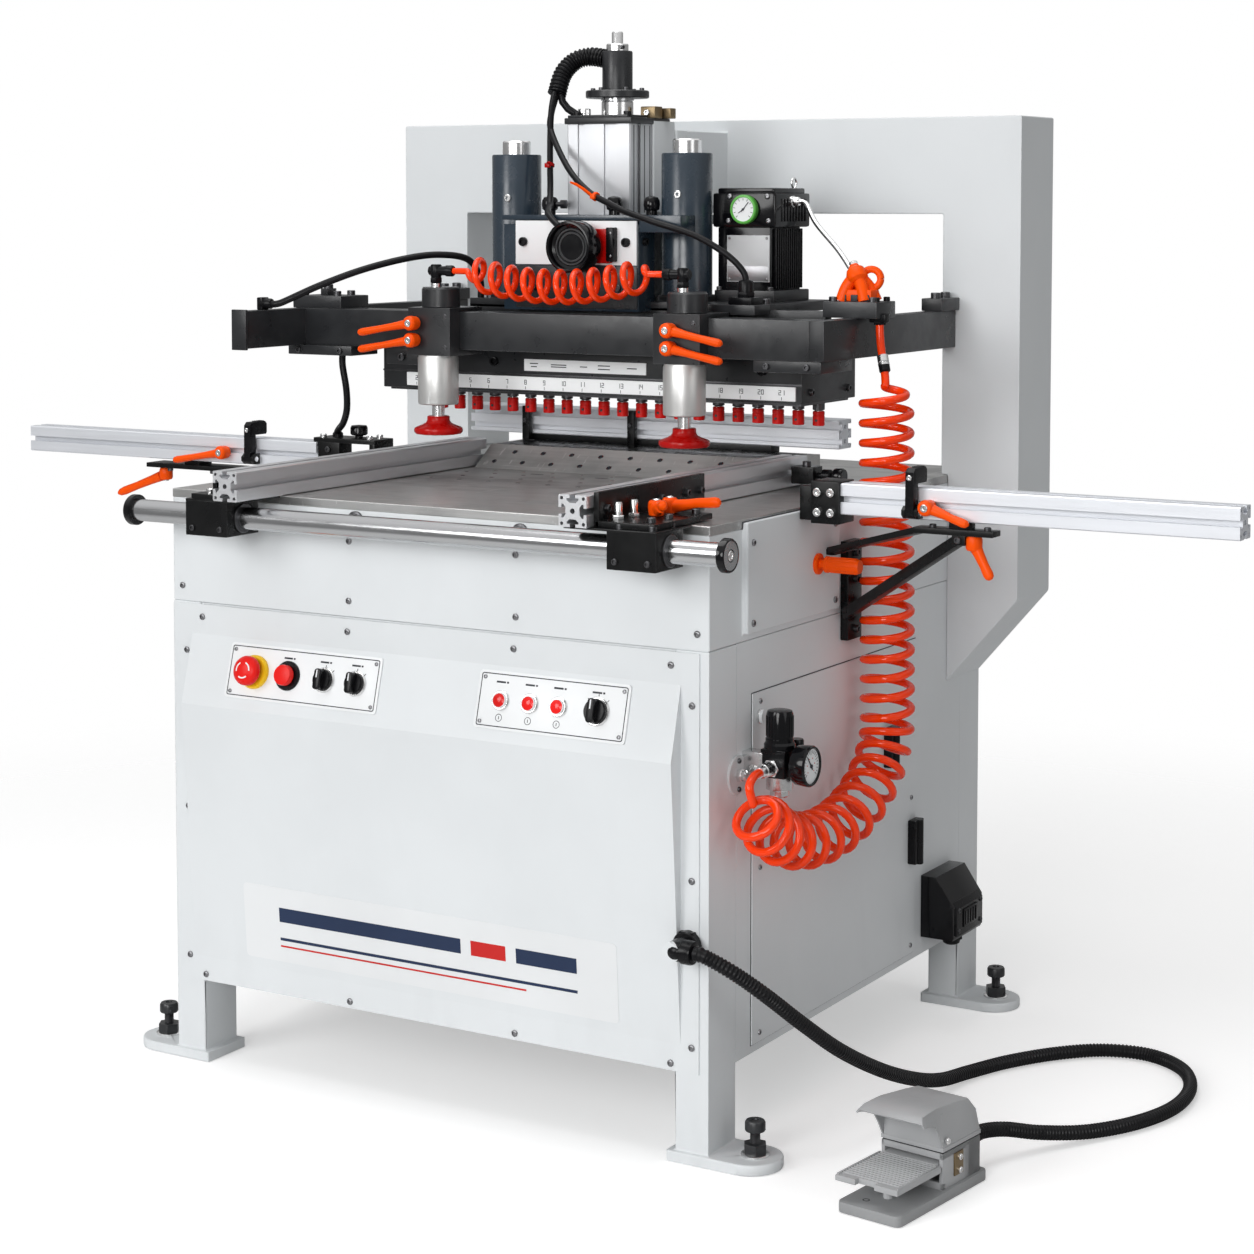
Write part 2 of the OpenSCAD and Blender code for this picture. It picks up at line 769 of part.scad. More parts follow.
module feed_cylinder() {
    half = cylinder_w / 2;
    cap = half + 3;
    groove_z = [head_top + 6, cylinder_top - 6];
    bore_z = [head_top + 12, cylinder_top - 12];
    color("silver")
        difference() {
            union() {
                slab([-half, half], [feed_y - half, feed_y + half], [head_top, cylinder_top]);
                slab([-cap, cap], [feed_y - cap, feed_y + cap], [cylinder_top - eps, cylinder_top + 13]);
                rod_along_z(46, 0, feed_y, [cylinder_top + 13 - eps, 1345]);
            }
            rod_along_z(piston_d + 2, 0, feed_y, bore_z);
            rod_along_z(feed_d + 2 * run_gap, 0, feed_y, [head_top - 1, 1346]);
            // Long grooves of the extruded body
            for (x = [-24, 0, 24])
                slab([x - 3, x + 3], [feed_y - half - 1, feed_y - half + 2], groove_z);
            for (y = [-20, 20])
                slab([half - 2, half + 1], [feed_y + y - 4, feed_y + y + 4], groove_z);
        }
}

module motor() {
    left = motor_x - 43;
    right = motor_x + 52;
    foot_z = base_z + base_t;
    color("dimgray")
        difference() {
            union() {
                slab([left, right], [spindle_y - 52, spindle_y + 56], [foot_z, foot_z + 16]);
                slab([left + 2, right - 4], [spindle_y - 50, spindle_y + 50], [foot_z + 16 - eps, 1160]);
                slab([left, right], [spindle_y - 54, spindle_y + 54], [1160 - eps, 1215]);
                rod_along_y(40, motor_x + 2, [spindle_y - 62, spindle_y - 54 + eps], 1188);
                rod_along_x(16, [right - eps, right + 14], 500, 1196);
            }
            rod_along_z(drive_d + 0.6, motor_x, spindle_y, [foot_z - 1, 1156]);
        }
}

module horn() {
    mouth = 304;
    color("black")
        translate([30, mouth, 1133])
            rotate([-90, 0, 0])
                rotate_extrude()
                    polygon([[0, 14], [6, 12], [20, 8], [30, 0], [35, 0], [35, 34], [26, 42], [0, 42]]);
    color("red")
        slab([24, 74], [346 - eps, 360], [1110, 1158]);
}

module air_manifold() {
    color("red")
        translate([425, 415, beam_z + beam_h + 22])
            rotate_extrude()
                polygon([[0, 0], [26, 0], [27, 14], [22, 30], [14, 44], [0, 46]]);
}

module spindle_box() {
    bearing_z = box_z1 - 8;
    cavity_y = [spindle_y - 21, spindle_y + 21];
    color("dimgray")
        difference() {
            slab([-box_hw, box_hw], [box_y0, box_y1], [box_z0, box_z1]);
            slab([-box_hw + 8, box_hw - 8], cavity_y, [box_z0 + 13, box_z1 - 15]);
            for (i = [1:spindle_count])
                rod_along_z(shaft_d + 2 * run_gap, spindle_x(i), spindle_y, [box_z0 - 1, bearing_z]);
            rod_along_z(drive_d + 2 * run_gap, motor_x, spindle_y, [box_z0 + 20, box_z1 + 1]);
            for (z = [945, 975])
                slab([-box_hw - 1, box_hw + 1], [box_y1 - 12, box_y1 + 1], [z, z + 10]);
        }
}

module head_rods() {
    piston_z = cylinder_top - 12 - piston_h - 5;
    color("silver") {
        both_sides()
            rod_along_z(head_rod_d, column_x, column_y, [box_z1, 1284]);
        rod_along_z(feed_d, 0, feed_y, [box_z1, feed_top]);
        rod_along_z(piston_d, 0, feed_y, [piston_z, piston_z + piston_h]);
    }
}

module spindle_gear(turn) {
    tip_r = gear_teeth * gear_mod / 2 + 1.2;
    root_r = gear_teeth * gear_mod / 2 - 2;
    tip_w = 1.6;
    root_w = 2.8;
    linear_extrude(gear_h)
        rotate(turn) {
            circle(r = root_r);
            for (k = [0:gear_teeth - 1])
                rotate(360 * k / gear_teeth)
                    polygon([[root_r - 1, -root_w / 2], [tip_r, -tip_w / 2],
                             [tip_r, tip_w / 2], [root_r - 1, root_w / 2]]);
        }
}

// Neighbouring gears are half a tooth apart, so each pair is in mesh
module spindle(i) {
    half_tooth = 180 / gear_teeth;
    shaft_top = box_z1 - 9;
    color("firebrick")
        translate([spindle_x(i), spindle_y, 0]) {
            translate([0, 0, cap_z])
                cylinder(d = cap_d, h = cap_h);
            translate([0, 0, cap_z + cap_h - eps])
                cylinder(d = shaft_d, h = shaft_top - cap_z - cap_h);
            translate([0, 0, gear_z])
                spindle_gear(i % 2 == 0 ? half_tooth : 0);
            if (i == drive_spindle)
                translate([0, 0, gear_z + gear_h - eps])
                    cylinder(d = drive_d, h = 1150 - gear_z - gear_h);
        }
}

// Guide rod, rails and fences

module guide_rod() {
    cap_t = 7;
    color("lightgray") {
        rod_along_x(guide_rod_d, rod_x, rod_y0, rod_z0);
        rod_along_x(42, [rod_x[0] - cap_t, rod_x[0] + eps], rod_y0, rod_z0);
        rod_along_x(42, [rod_x[1] - eps, rod_x[1] + cap_t], rod_y0, rod_z0);
        // Studs that hold the rod off the table box
        for (x = [-110, 150])
            rod_along_y(12, x, [rod_y0, 0], rod_z0);
    }
}

module rail_profile(side) {
    x = rail_x[side] - profile_w / 2;
    translate([x, 0, table_z + rail_lift])
        extrude_along_y([-rail_front, rail_back])
            profile_section(profile_w, profile_w);
}

module rail_block(side) {
    block_y = [-92, -26];
    block_z = [752, table_z - 1];
    x = block_x[side];
    difference() {
        union() {
            slab(x, block_y, block_z);
            // Top plate that joins the block to the rail
            slab([min(x[0], rail_x[side] - 18), max(x[1], rail_x[side] + 18)],
                 [-92, -6], [table_z - 2, table_z + rail_lift]);
        }
        rod_along_x(guide_rod_d + 2 * slide_gap, [x[0] - 1, x[1] + 1], rod_y0, rod_z0);
    }
}

module left_rail() {
    color("silver") {
        rail_profile(0);
        rail_block(0);
        // Angle beside the rail, with its clamping lever
        slab([-312, rail_x[0] - 20 + eps], [-92, 60], [table_z + rail_lift - eps, table_z + 8]);
        translate([-292, -20, table_z + 8 - eps])
            rotate([0, 0, 35])
                clamp_lever(60);
    }
}

module right_rail() {
    edge = rail_x[1] + profile_w / 2;
    color("silver") {
        rail_profile(1);
        rail_block(1);
        // Tall black angle beside the rail, its foot and two clamping levers
        slab([edge - eps, edge + 8], [-84, 180], [table_z + rail_lift, table_z + 44]);
        slab([edge, 396], [-84, 60], [table_z + rail_lift - eps, table_z + 9]);
        translate([352, 30, table_z + 9 - eps])
            rotate([0, 0, -8])
                clamp_lever(64, 24);
        translate([352, 4, table_z + 9 - eps])
            rotate([0, 0, -50])
                clamp_lever(44, 18);
        // End clamp at the back of the rail
        slab([edge - eps, edge + 34], [440, 470], [table_z + 6, table_z + 30]);
    }
}

module outer_fence(side) {
    x = side == 0 ? [-fence_reach, -fence_in[0]] : [fence_in[1], fence_reach];
    translate([0, fence_y[side], fence_z])
        extrude_along_x(x)
            profile_section(profile_w, profile_w);
}

module fence_profiles() {
    color("silver") {
        outer_fence(0);
        outer_fence(1);
        translate([0, rear_fence_y, rear_fence_z])
            extrude_along_x(rear_fence_x)
                profile_section(profile_w, rear_fence_h);
    }
}

// A swing arm under a fence and the brace that holds it up
module support_arm(from, to, reach, brace_from, brace_to) {
    hull() {
        translate(from)
            cube([6, 22, 6]);
        translate(to)
            cube([reach, 26, 6]);
    }
    hull() {
        translate(brace_from)
            cube([6, 14, 10]);
        translate(brace_to)
            cube([10, 14, 6]);
    }
}

// A lever that hangs below its hub: the arm leans by the given angle from straight up
module hanging_lever(top, lean, reach) {
    translate(top) {
        translate([0, 0, -24])
            cylinder(d = 20, h = 24);
        translate([0, 0, -14])
            rotate([0, lean, 0])
                cylinder(d = 11, h = reach);
    }
}

// Raised steel bed under the drills, with a ramp in front and a pocket for the black insert
module drilling_bed() {
    x = [-226, 266];
    difference() {
        extrude_along_x(x)
            polygon([[452, table_z], [618, table_z], [618, bed_z], [496, bed_z]]);
        slab([x[0] + 10, x[1] - 10], [500, 590], [bed_z - 2, bed_z + 1]);
    }
}

module fence_brackets() {
    under = fence_z;
    arm_z = under - 14;
    top = fence_z + profile_w;
    color("dimgray") {
        // Right fence: end plate, the block behind it, swing arm with its post and brace, hand screw
        slab([452, fence_in[1]], [219, 265], [783, 838]);
        slab([half_w + cover_t, 452 + eps], [225, 262], [786, 830]);
        slab([half_w, half_w + 12], [362, 404], [608, 742]);
        slab([half_w + 8, 446], [302, 370], [731, 739]);
        support_arm([440, 302, 735], [600, 214, arm_z], 106, [434, 354, 642], [656, 219, arm_z - 10]);
        slab([640, 672], [230, 240], [arm_z + 6 - eps, under]);
        rod_along_x(20, [half_w + cover_t, 496], 278, 722);
        hanging_lever([676, 227, arm_z + eps], 152, 50);
        translate([617, fence_y[1], 813])
            rotate([90, 0, 0])
                rotate([0, 0, -16])
                    clamp_lever(58);
        // Left fence: end block on the table, strap with its knob, support plate with its lever
        slab([-fence_in[0], -400], [349, 381], [table_z, top + 1]);
        slab([-448, -335], [349, 397], [top, top + 7]);
        rod_along_z(26, -383, 376, [top + 7 - eps, top + 26]);
        slab([-345, -335], [349, 397], [table_z, top + 1]);
        slab([-772, -560], [344, 386], [arm_z, arm_z + 7]);
        slab([-700, -670], [350, 380], [arm_z + 7 - eps, under]);
        hanging_lever([-750, 365, arm_z + eps], -110, 100);
        translate([-612, fence_y[0], 813])
            rotate([90, 0, 0])
                rotate([0, 0, 190])
                    clamp_lever(90);
        // Ears and pins that the flip stops turn on
        for (side = [0, 1])
            translate([stop_x[side], fence_y[side], 0]) {
                for (x = [-11, 6.4])
                    slab([x, x + 4.6], [-18, 0], [stop_pivot_z - 8, stop_pivot_z + 8]);
                rod_along_x(6 - 2 * run_gap, [-11, 11], -10, stop_pivot_z);
            }
        // Bar on the drilling bed, for the rear fence to stand on
        slab([-226, 200], [592, 618], [bed_z - eps, rear_fence_z]);
    }
    color("silver")
        drilling_bed();
}

module flip_stop(side) {
    x = stop_x[side];
    front = fence_y[side];
    top = fence_z + profile_w;
    color("black")
        difference() {
            union() {
                rod_along_x(16, [x - 6, x + 6], front - 10, stop_pivot_z);
                slab([x - 6, x + 6], [front - 16, front - 4], [stop_pivot_z, top + 26]);
                slab([x - 6, x + 6], [front - 16, front + 24], [top + 4, top + 26]);
            }
            rod_along_x(6, [x - 7, x + 7], front - 10, stop_pivot_z);
        }
}

// Console controls

module push_stem(d) {
    stem_d = 22;
    translate([0, 0, -14])
        cylinder(d = stem_d, h = 14 + plate_gap + 8);
    translate([0, 0, plate_gap + 8 - eps])
        cylinder(d = d, h = 8);
}

module stop_button() {
    color("red")
        on_slope(stop_button_x) {
            push_stem(24);
            translate([0, 0, 15])
                rotate_extrude()
                    polygon([[0, 0], [16, 0], [20, 4], [20, 9], [14, 14], [0, 16]]);
        }
}

module start_button() {
    color("red")
        on_slope(start_button_x)
            push_stem(30);
}

module selector(i) {
    d = i == 2 ? 33 : 30;
    color("black")
        on_slope(selector_x[i]) {
            translate([0, 0, -14])
                cylinder(d = 22, h = 14 + plate_gap + 1);
            translate([0, 0, plate_gap + 0.5])
                cylinder(d = d, h = 8);
            translate([-5, -d / 2 + 1, plate_gap + 8])
                cube([10, d - 2, 12]);
        }
}

// Fittings on the right side

module air_regulator() {
    y = 101;
    color("dimgray") {
        slab([454, 486], [83, 119], [478, 513]);
        slab([half_w, 454 + eps], [84, 108], [482, 508]);
        rod_along_x(50, [half_w, half_w + 3], 71, 480);
        rod_along_x(16, [half_w + 3 - eps, half_w + 15], 71, 480);
        rod_along_z(40, 470, y, [513 - eps, 525]);
        rod_along_z(34, 470, y, [525 - eps, 562]);
        rod_along_z(34, 470, y, [462, 478 + eps]);
        rod_along_z(20, 470, y, [452, 462 + eps]);
        rod_along_x(12, [486 - eps, 493], y, 495);
        rod_along_x(52, [493 - eps, 516], y, 495);
        // Outlet with its tap, and the fitting that takes the curly hose
        rod_along_y(14, 470, [119 - eps, 157], 497);
        rod_along_z(18, 470, 148, [497, 517]);
        rod_along_y(18, inlet[0], [inlet[1], 83 + eps], inlet[2]);
    }
}

module junction_box() {
    y = [627, 735];
    depth = 52;
    color("black") {
        extrude_along_y(y)
            polygon([[half_w, 138], [half_w + depth, 138], [half_w + depth, 187],
                     [half_w + 24, 228], [half_w, 228]]);
        rod_along_z(28, half_w + 26, 681, [120, 138 + eps]);
    }
}

module riser_coil() {
    color("orangered")
        tube(riser_path, [for (p = riser_path) air_hose_d / 2], 6);
}

module clamp_coil() {
    color("orangered")
        tube(clamp_path, [for (p = clamp_path) clamp_hose_d / 2], 6);
}

module head_cables() {
    color("black") {
        ribbed_hose(conduit_route, conduit_d, conduit_d - 6, conduit_ribs);
        cable(horn_cable, cable_d);
        cable(motor_cable, cable_d);
        cable(arm_hose, arm_hose_d);
        cable(drop_hose, arm_hose_d);
        cable(braided_hose, cable_d);
    }
}

module pedal_hose() {
    color("black")
        ribbed_hose(pedal_route, pedal_hose_d, pedal_hose_d - 5, pedal_ribs);
}

// Foot pedal

// The pedal stands a little askew on the floor
module pedal_placed() {
    translate([680, 47, 0])
        rotate([0, 0, pedal_turn])
            translate([-676, -55, 0])
                children();
}

module pedal_body() {
    x = [pedal_x - pedal_w / 2, pedal_x + pedal_w / 2];
    case_x = pedal_case_x;
    front = pedal_case_y[0];
    back = pedal_case_y[1];
    wall = 5;
    color("silver")
        pedal_placed() {
            slab(x, [pedal_y, pedal_y + pedal_l], [0, 14]);
            difference() {
                union() {
                    extrude_along_x(case_x)
                        polygon([[front, 13], [back, 13], [back, 82], [137, 92], [100, 108], [75, 115],
                                 [16, 116], [9, 106], [14, 104], [28, 106], [44, 98], [front, 72]]);
                    rod_along_y(26, 690, [back - eps, 170], 42);
                }
                // Hollow behind the treadle
                slab([case_x[0] + wall, case_x[1] - wall], [front - 1, 110], [22, 50]);
            }
            rod_along_x(treadle_pin_d - 2 * run_gap, [case_x[0] + wall - eps, case_x[1] - wall + eps],
                        treadle_y, treadle_z);
        }
}

module treadle() {
    tail = [pedal_case_x[0] + 6, pedal_case_x[1] - 6];
    join = pedal_case_y[0] - 4;
    color("silver")
        pedal_placed()
            difference() {
                union() {
                    slab(pedal_case_x, [-42, join], [36, 45]);
                    extrude_along_x(tail)
                        polygon([[join - 1, 36], [join - 1, 45], [92, 46], [92, 34], [70, 34]]);
                    rod_along_z(11, 694, -28, [26, 36 + eps]);
                }
                rod_along_x(treadle_pin_d, [tail[0] - 1, tail[1] + 1], treadle_y, treadle_z);
            }
}

module placed() {
    translate([0, -mid_y, 0])
        children();
}

placed() base_frame();
placed() levelling_bolts();
placed() front_console();
placed() cabinet_panels();
placed() table_box();
placed() work_table();
placed() guide_rod();
placed() fence_profiles();
placed() fence_brackets();
placed() arch();
placed() clamp_beam();
placed() head_carrier();
placed() feed_cylinder();
placed() motor();
placed() horn();
placed() air_manifold();
placed() air_regulator();
placed() junction_box();
placed() riser_coil();
placed() clamp_coil();
placed() head_cables();
placed() pedal_hose();
placed() pedal_body();
placed() spindle_box();
placed() head_rods();
placed() hold_down(0);  // left_clamp
placed() hold_down(1);  // right_clamp
placed() hold_down_foot(0);  // left_foot
placed() hold_down_foot(1);  // right_foot
placed() left_rail();
placed() right_rail();
placed() flip_stop(0);  // left_stop
placed() flip_stop(1);  // right_stop
placed() stop_button();
placed() start_button();
placed() selector(0);  // selector_1
placed() selector(1);  // selector_2
placed() selector(2);  // selector_3
placed() treadle();
for (i = [1:spindle_count])
    placed() spindle(i);
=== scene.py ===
# %% [markdown]
# # A line boring machine, dressed for its portrait
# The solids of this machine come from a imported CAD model, which also says what moves. This lesson
# builds the looks round that model: hoses, paint, castings, extrusions and controls. Sizes are in
# millimetres, measured from the cabinet's front face, its centre plane and the floor, because that is
# how a fitter would measure. One matrix turns them into the model's own metres.

# %% Load the model
import math

import bmesh
import bpy
from mathutils import Matrix, Vector


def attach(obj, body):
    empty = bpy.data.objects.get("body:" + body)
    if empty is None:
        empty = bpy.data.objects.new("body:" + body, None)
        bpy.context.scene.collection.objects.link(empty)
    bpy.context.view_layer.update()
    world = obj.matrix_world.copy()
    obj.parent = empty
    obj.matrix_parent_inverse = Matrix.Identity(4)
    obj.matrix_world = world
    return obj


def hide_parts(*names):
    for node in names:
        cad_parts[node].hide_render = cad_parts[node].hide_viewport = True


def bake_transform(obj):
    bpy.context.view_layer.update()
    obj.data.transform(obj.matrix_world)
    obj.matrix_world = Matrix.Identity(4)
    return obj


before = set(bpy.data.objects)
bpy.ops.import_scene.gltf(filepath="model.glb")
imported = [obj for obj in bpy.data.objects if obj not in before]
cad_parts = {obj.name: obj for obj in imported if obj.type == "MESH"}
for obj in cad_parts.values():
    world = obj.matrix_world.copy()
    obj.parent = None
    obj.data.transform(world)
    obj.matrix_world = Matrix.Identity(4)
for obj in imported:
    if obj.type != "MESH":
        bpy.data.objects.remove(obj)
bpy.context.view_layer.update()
MIDDLE = 370


def shift(x, y, z):
    """A matrix that moves things and doesn't turn them."""
    return Matrix.Translation((x, y, z))


TO_FRAME = shift(0, -MIDDLE / 1000, 0) @ Matrix.Scale(0.001, 4)


def at(x, y, z):
    """A point in millimetres from the cabinet's front, as a point of the model."""
    return TO_FRAME @ Vector((x, y, z))


# %% [markdown]
# ## The camera
# The photograph was taken from the front right, a little above the table, and its horizon lies high in
# the picture. A lens shift keeps the upright edges upright, as a view camera does. A third of it is
# left to a slight tilt, which changes the edges by a few pixels only.

# %% Camera
EYE = (1974, -2801, 1196)
YAW, PITCH = math.radians(30.75), math.radians(3.79)
FOCAL_PX, PICTURE_PX, AXIS_PX = 2637, 1254, 376.2

lens = bpy.data.cameras.new("portrait")
lens.sensor_width = 36
lens.lens = FOCAL_PX / PICTURE_PX * lens.sensor_width
lens.shift_y = -(PICTURE_PX / 2 - AXIS_PX) / PICTURE_PX
camera = bpy.data.objects.new("portrait", lens)
camera.location = at(*EYE)
camera.rotation_euler = (math.pi / 2 - PITCH, 0, YAW)
bpy.context.scene.collection.objects.link(camera)
bpy.context.scene.camera = camera
bpy.context.scene.view_settings.view_transform = "Standard"
print("lens", round(lens.lens, 1), "mm, shift", round(lens.shift_y, 3))

# %% [markdown]
# ## Shader maths as Python
# A finish is a small network of nodes. Writing `1 - mask` is easier to read than wiring a Math node,
# so this class wraps one socket and lets operators add the nodes. Everything else, such as a noise or a
# colour mix, comes from its one `node` method.

# %% The wire class


def pick(sockets, key):
    """One of the sockets in use, by its place or its name."""
    ready = [s for s in sockets if s.enabled]
    return ready[key] if isinstance(key, int) else next(s for s in ready if s.name == key)


class Wire:
    """One output in a network of nodes."""

    def __init__(self, tree, socket=None):
        self.tree, self.socket = tree, socket

    def feed(self, socket, value):
        if isinstance(value, Wire):
            self.tree.links.new(value.socket, socket)
        else:
            socket.default_value = value

    def node(self, kind, settings=None, inputs=None, out=0):
        """A new node: its settings first, then its inputs by name or place, then one of its outputs."""
        made = self.tree.nodes.new(kind)
        for key, value in (settings or {}).items():
            setattr(made, key, value)
        for key, value in (inputs or {}).items():
            self.feed(pick(made.inputs, key), value)
        return Wire(self.tree, pick(made.outputs, out))

    def math(self, operation, first, second):
        return self.node("ShaderNodeMath", {"operation": operation}, {0: first, 1: second})

    def __add__(self, other):
        return self.math("ADD", self, other)

    def __sub__(self, other):
        return self.math("SUBTRACT", self, other)

    def __rsub__(self, other):
        return self.math("SUBTRACT", other, self)

    def __mul__(self, other):
        return self.math("MULTIPLY", self, other)

    __radd__, __rmul__ = __add__, __mul__

    def span(self, low, high, first=0.0, last=1.0):
        """A smooth step from first to last while this value goes from low to high."""
        return self.node("ShaderNodeMapRange", {"interpolation_type": "SMOOTHSTEP"},
                         {"Value": self, "From Min": low, "From Max": high, "To Min": first, "To Max": last})

    def tint(self, first, last):
        """A colour that goes from first to last while this value goes from 0 to 1."""
        ends = [end if isinstance(end, Wire) else (*end, 1) for end in (first, last)]
        return self.node("ShaderNodeMix", {"data_type": "RGBA"}, {"Factor": self, "A": ends[0], "B": ends[1]})

    def spot(self, stretch=(1, 1, 1)):
        """Where a point of the surface lies in the model, each axis stretched."""
        place = self.node("ShaderNodeTexCoord", out="Object")
        return self.node("ShaderNodeVectorMath", {"operation": "MULTIPLY"}, {0: place, 1: stretch})

    def grain(self, scale, detail, stretch=(1, 1, 1)):
        """Noise that is finer along the axes with a larger stretch."""
        return self.node("ShaderNodeTexNoise", None,
                         {"Vector": self.spot(stretch), "Scale": scale, "Detail": detail})

    def edge(self, radius):
        """1 along an outer edge, 0 on a flat."""
        soft = self.node("ShaderNodeBevel", {"samples": 4}, {"Radius": radius})
        hard = self.node("ShaderNodeNewGeometry", out="Normal")
        turned = self.node("ShaderNodeVectorMath", {"operation": "DOT_PRODUCT"}, {0: soft, 1: hard}, "Value")
        return (1 - turned).span(0.02, 0.2)


finishes = {}


def finish(name, colour, rough, metal=0.0, bump=None, depth=0.0002, shine=0.5):
    """A material whose colour, roughness and bump may each be a function of a wire."""
    made = bpy.data.materials.new(name)
    made.use_nodes = True
    shader = made.node_tree.nodes["Principled BSDF"]
    wire = Wire(made.node_tree)
    shader.inputs["Specular IOR Level"].default_value = shine
    for socket, value in (("Base Color", colour), ("Roughness", rough), ("Metallic", metal)):
        value = value(wire) if callable(value) else value
        wire.feed(shader.inputs[socket], (*value, 1) if isinstance(value, tuple) else value)
    if bump:
        relief = wire.node("ShaderNodeBump", None, {"Height": bump(wire), "Distance": depth})
        wire.feed(shader.inputs["Normal"], relief)
    finishes[name] = made
    return made


print("wire class ready")

# %% [markdown]
# ## Paints
# Powder coat isn't flat: it has a fine orange-peel ripple, its shade drifts a little over a large sheet,
# and dust and scuffs gather low down. The black and slate parts are sprayed steel, which wears to a
# lighter grey along its edges. Both are one function, with the amounts as arguments.

# %% Painted finishes


def paint(name, colour, rough, *, drift, peel=900, deep=0.00001, wear=0.0, scuff=0.0, shine=0.4):
    """Sprayed or powder-coated metal, or a moulding with the same kind of surface."""
    dark = tuple(c * (1 - drift) for c in colour)
    pale = tuple(min(1, c * (1 + drift)) for c in colour)
    worn = tuple(min(1, c * 0.6 + 0.16) for c in colour)
    dusty = tuple(c * 0.72 + 0.02 for c in colour)

    def shade(wire):
        base = wire.grain(5, 4).span(0.3, 0.7).tint(dark, pale)
        if scuff:
            height = wire.node("ShaderNodeSeparateXYZ", None, {0: wire.spot()}, "Z")
            low = height.span(0.0, 0.3, scuff, scuff * 0.25)
            base = (wire.grain(18, 6, (1, 1, 0.35)).span(0.5, 0.75) * low).tint(base, dusty)
        if wear:
            base = (wire.edge(0.0016) * wire.grain(60, 3).span(0.35, 0.6) * wear).tint(base, worn)
        return base

    def gloss(wire):
        return rough + wire.grain(40, 4).span(0.3, 0.7, -0.05, 0.06)

    finish(name, shade, gloss, bump=lambda wire: wire.grain(peel, 2), depth=deep, shine=shine)


SPRAYED = 0.00004
paint("body_grey", (0.70, 0.725, 0.74), 0.46, deep=SPRAYED, drift=0.02, scuff=0.2, shine=0.35)
paint("panel_pale", (0.735, 0.75, 0.76), 0.44, peel=500, deep=0.00002, drift=0.03, shine=0.35)
paint("black_steel", (0.019, 0.020, 0.022), 0.32, peel=700, deep=SPRAYED, wear=0.45, drift=0.2, shine=0.42)
paint("bracket_black", (0.0045, 0.0047, 0.005), 0.3, peel=700, deep=SPRAYED, wear=0.15, drift=0.2, shine=0.23)
paint("slate_paint", (0.020, 0.033, 0.048), 0.24, peel=800, deep=SPRAYED, wear=0.08, drift=0.06, shine=0.6)
paint("black_plastic", (0.005, 0.005, 0.006), 0.26, peel=1400, deep=0.00003, drift=0.15, shine=0.18)
paint("gloss_black", (0.003, 0.003, 0.004), 0.13, peel=300, drift=0.1, shine=0.3)
paint("orange_plastic", (0.93, 0.085, 0.001), 0.34, peel=500, deep=0.00002, drift=0.05, shine=0.14)
paint("orange_hose", (0.95, 0.048, 0.001), 0.11, peel=260, drift=0.04, shine=0.34)
paint("red_plastic", (0.42, 0.003, 0.002), 0.26, peel=500, drift=0.1, shine=0.2)
paint("button_red", (0.74, 0.011, 0.008), 0.3, peel=500, drift=0.08, shine=0.2)
paint("red_lens", (0.76, 0.012, 0.010), 0.14, peel=200, drift=0.2)
paint("yellow_plastic", (0.88, 0.54, 0.01), 0.3, peel=500, drift=0.06, shine=0.3)
paint("green_plastic", (0.10, 0.42, 0.06), 0.3, peel=500, drift=0.1, shine=0.3)
paint("label_white", (0.80, 0.815, 0.825), 0.4, peel=300, drift=0.03)
# The next white is a lighter copy of label_white for the scales on the gear case: painted light that lifts
# them out of the shade they lie in.
paint("scale_white_lit", (0.94, 0.95, 0.955), 0.4, peel=300, drift=0.03)
paint("print_dark", (0.025, 0.028, 0.036), 0.45, peel=300, drift=0.1, shine=0.3)
paint("navy_print", (0.012, 0.026, 0.07), 0.4, peel=300, drift=0.08, shine=0.3)
paint("print_red", (0.55, 0.014, 0.012), 0.4, peel=300, drift=0.08, shine=0.3)
paint("rubber", (0.007, 0.007, 0.008), 0.34, peel=600, deep=0.00003, drift=0.25, shine=0.17)
paint("satin_plate", (0.56, 0.57, 0.58), 0.4, peel=260, drift=0.12)
paint("pedal_grey", (0.38, 0.387, 0.395), 0.36, peel=420, deep=0.0001, drift=0.08, wear=0.3, scuff=0.2)
# The next grey is a darker copy of pedal_grey for the pedal's base: painted shade from the hood above it.
paint("pedal_grey_shaded", (0.29, 0.296, 0.302), 0.4, peel=420, deep=0.0001, drift=0.1, wear=0.35, scuff=0.3)
print("paints:", len(finishes))

# %% [markdown]
# ## Bare metals
# Ground, drawn and extruded metals all carry lines along one direction. Noise that is stretched along
# that direction gives the lines, and the same noise varies the roughness, so a highlight breaks up.
# The steel table also has the scratches and dark smudges of use.

# %% Metal finishes


def metal(name, colour, rough, lines=(1, 1, 1), fine=300, bare=1.0):
    """Metal with drawn lines; lines is large across them and small along them. Bare 1 has no oxide skin."""
    dark = tuple(c * 0.92 for c in colour)

    def shade(wire):
        return (wire.grain(fine, 2, lines) * 0.7 + wire.grain(9, 4).span(0.35, 0.7) * 0.3).tint(dark, colour)

    def gloss(wire):
        return rough + wire.grain(fine, 2, lines).span(0.2, 0.8, -0.025, 0.05)

    finish(name, shade, gloss, bare, bump=lambda wire: wire.grain(fine * 1.4, 2, lines), depth=0.000005)


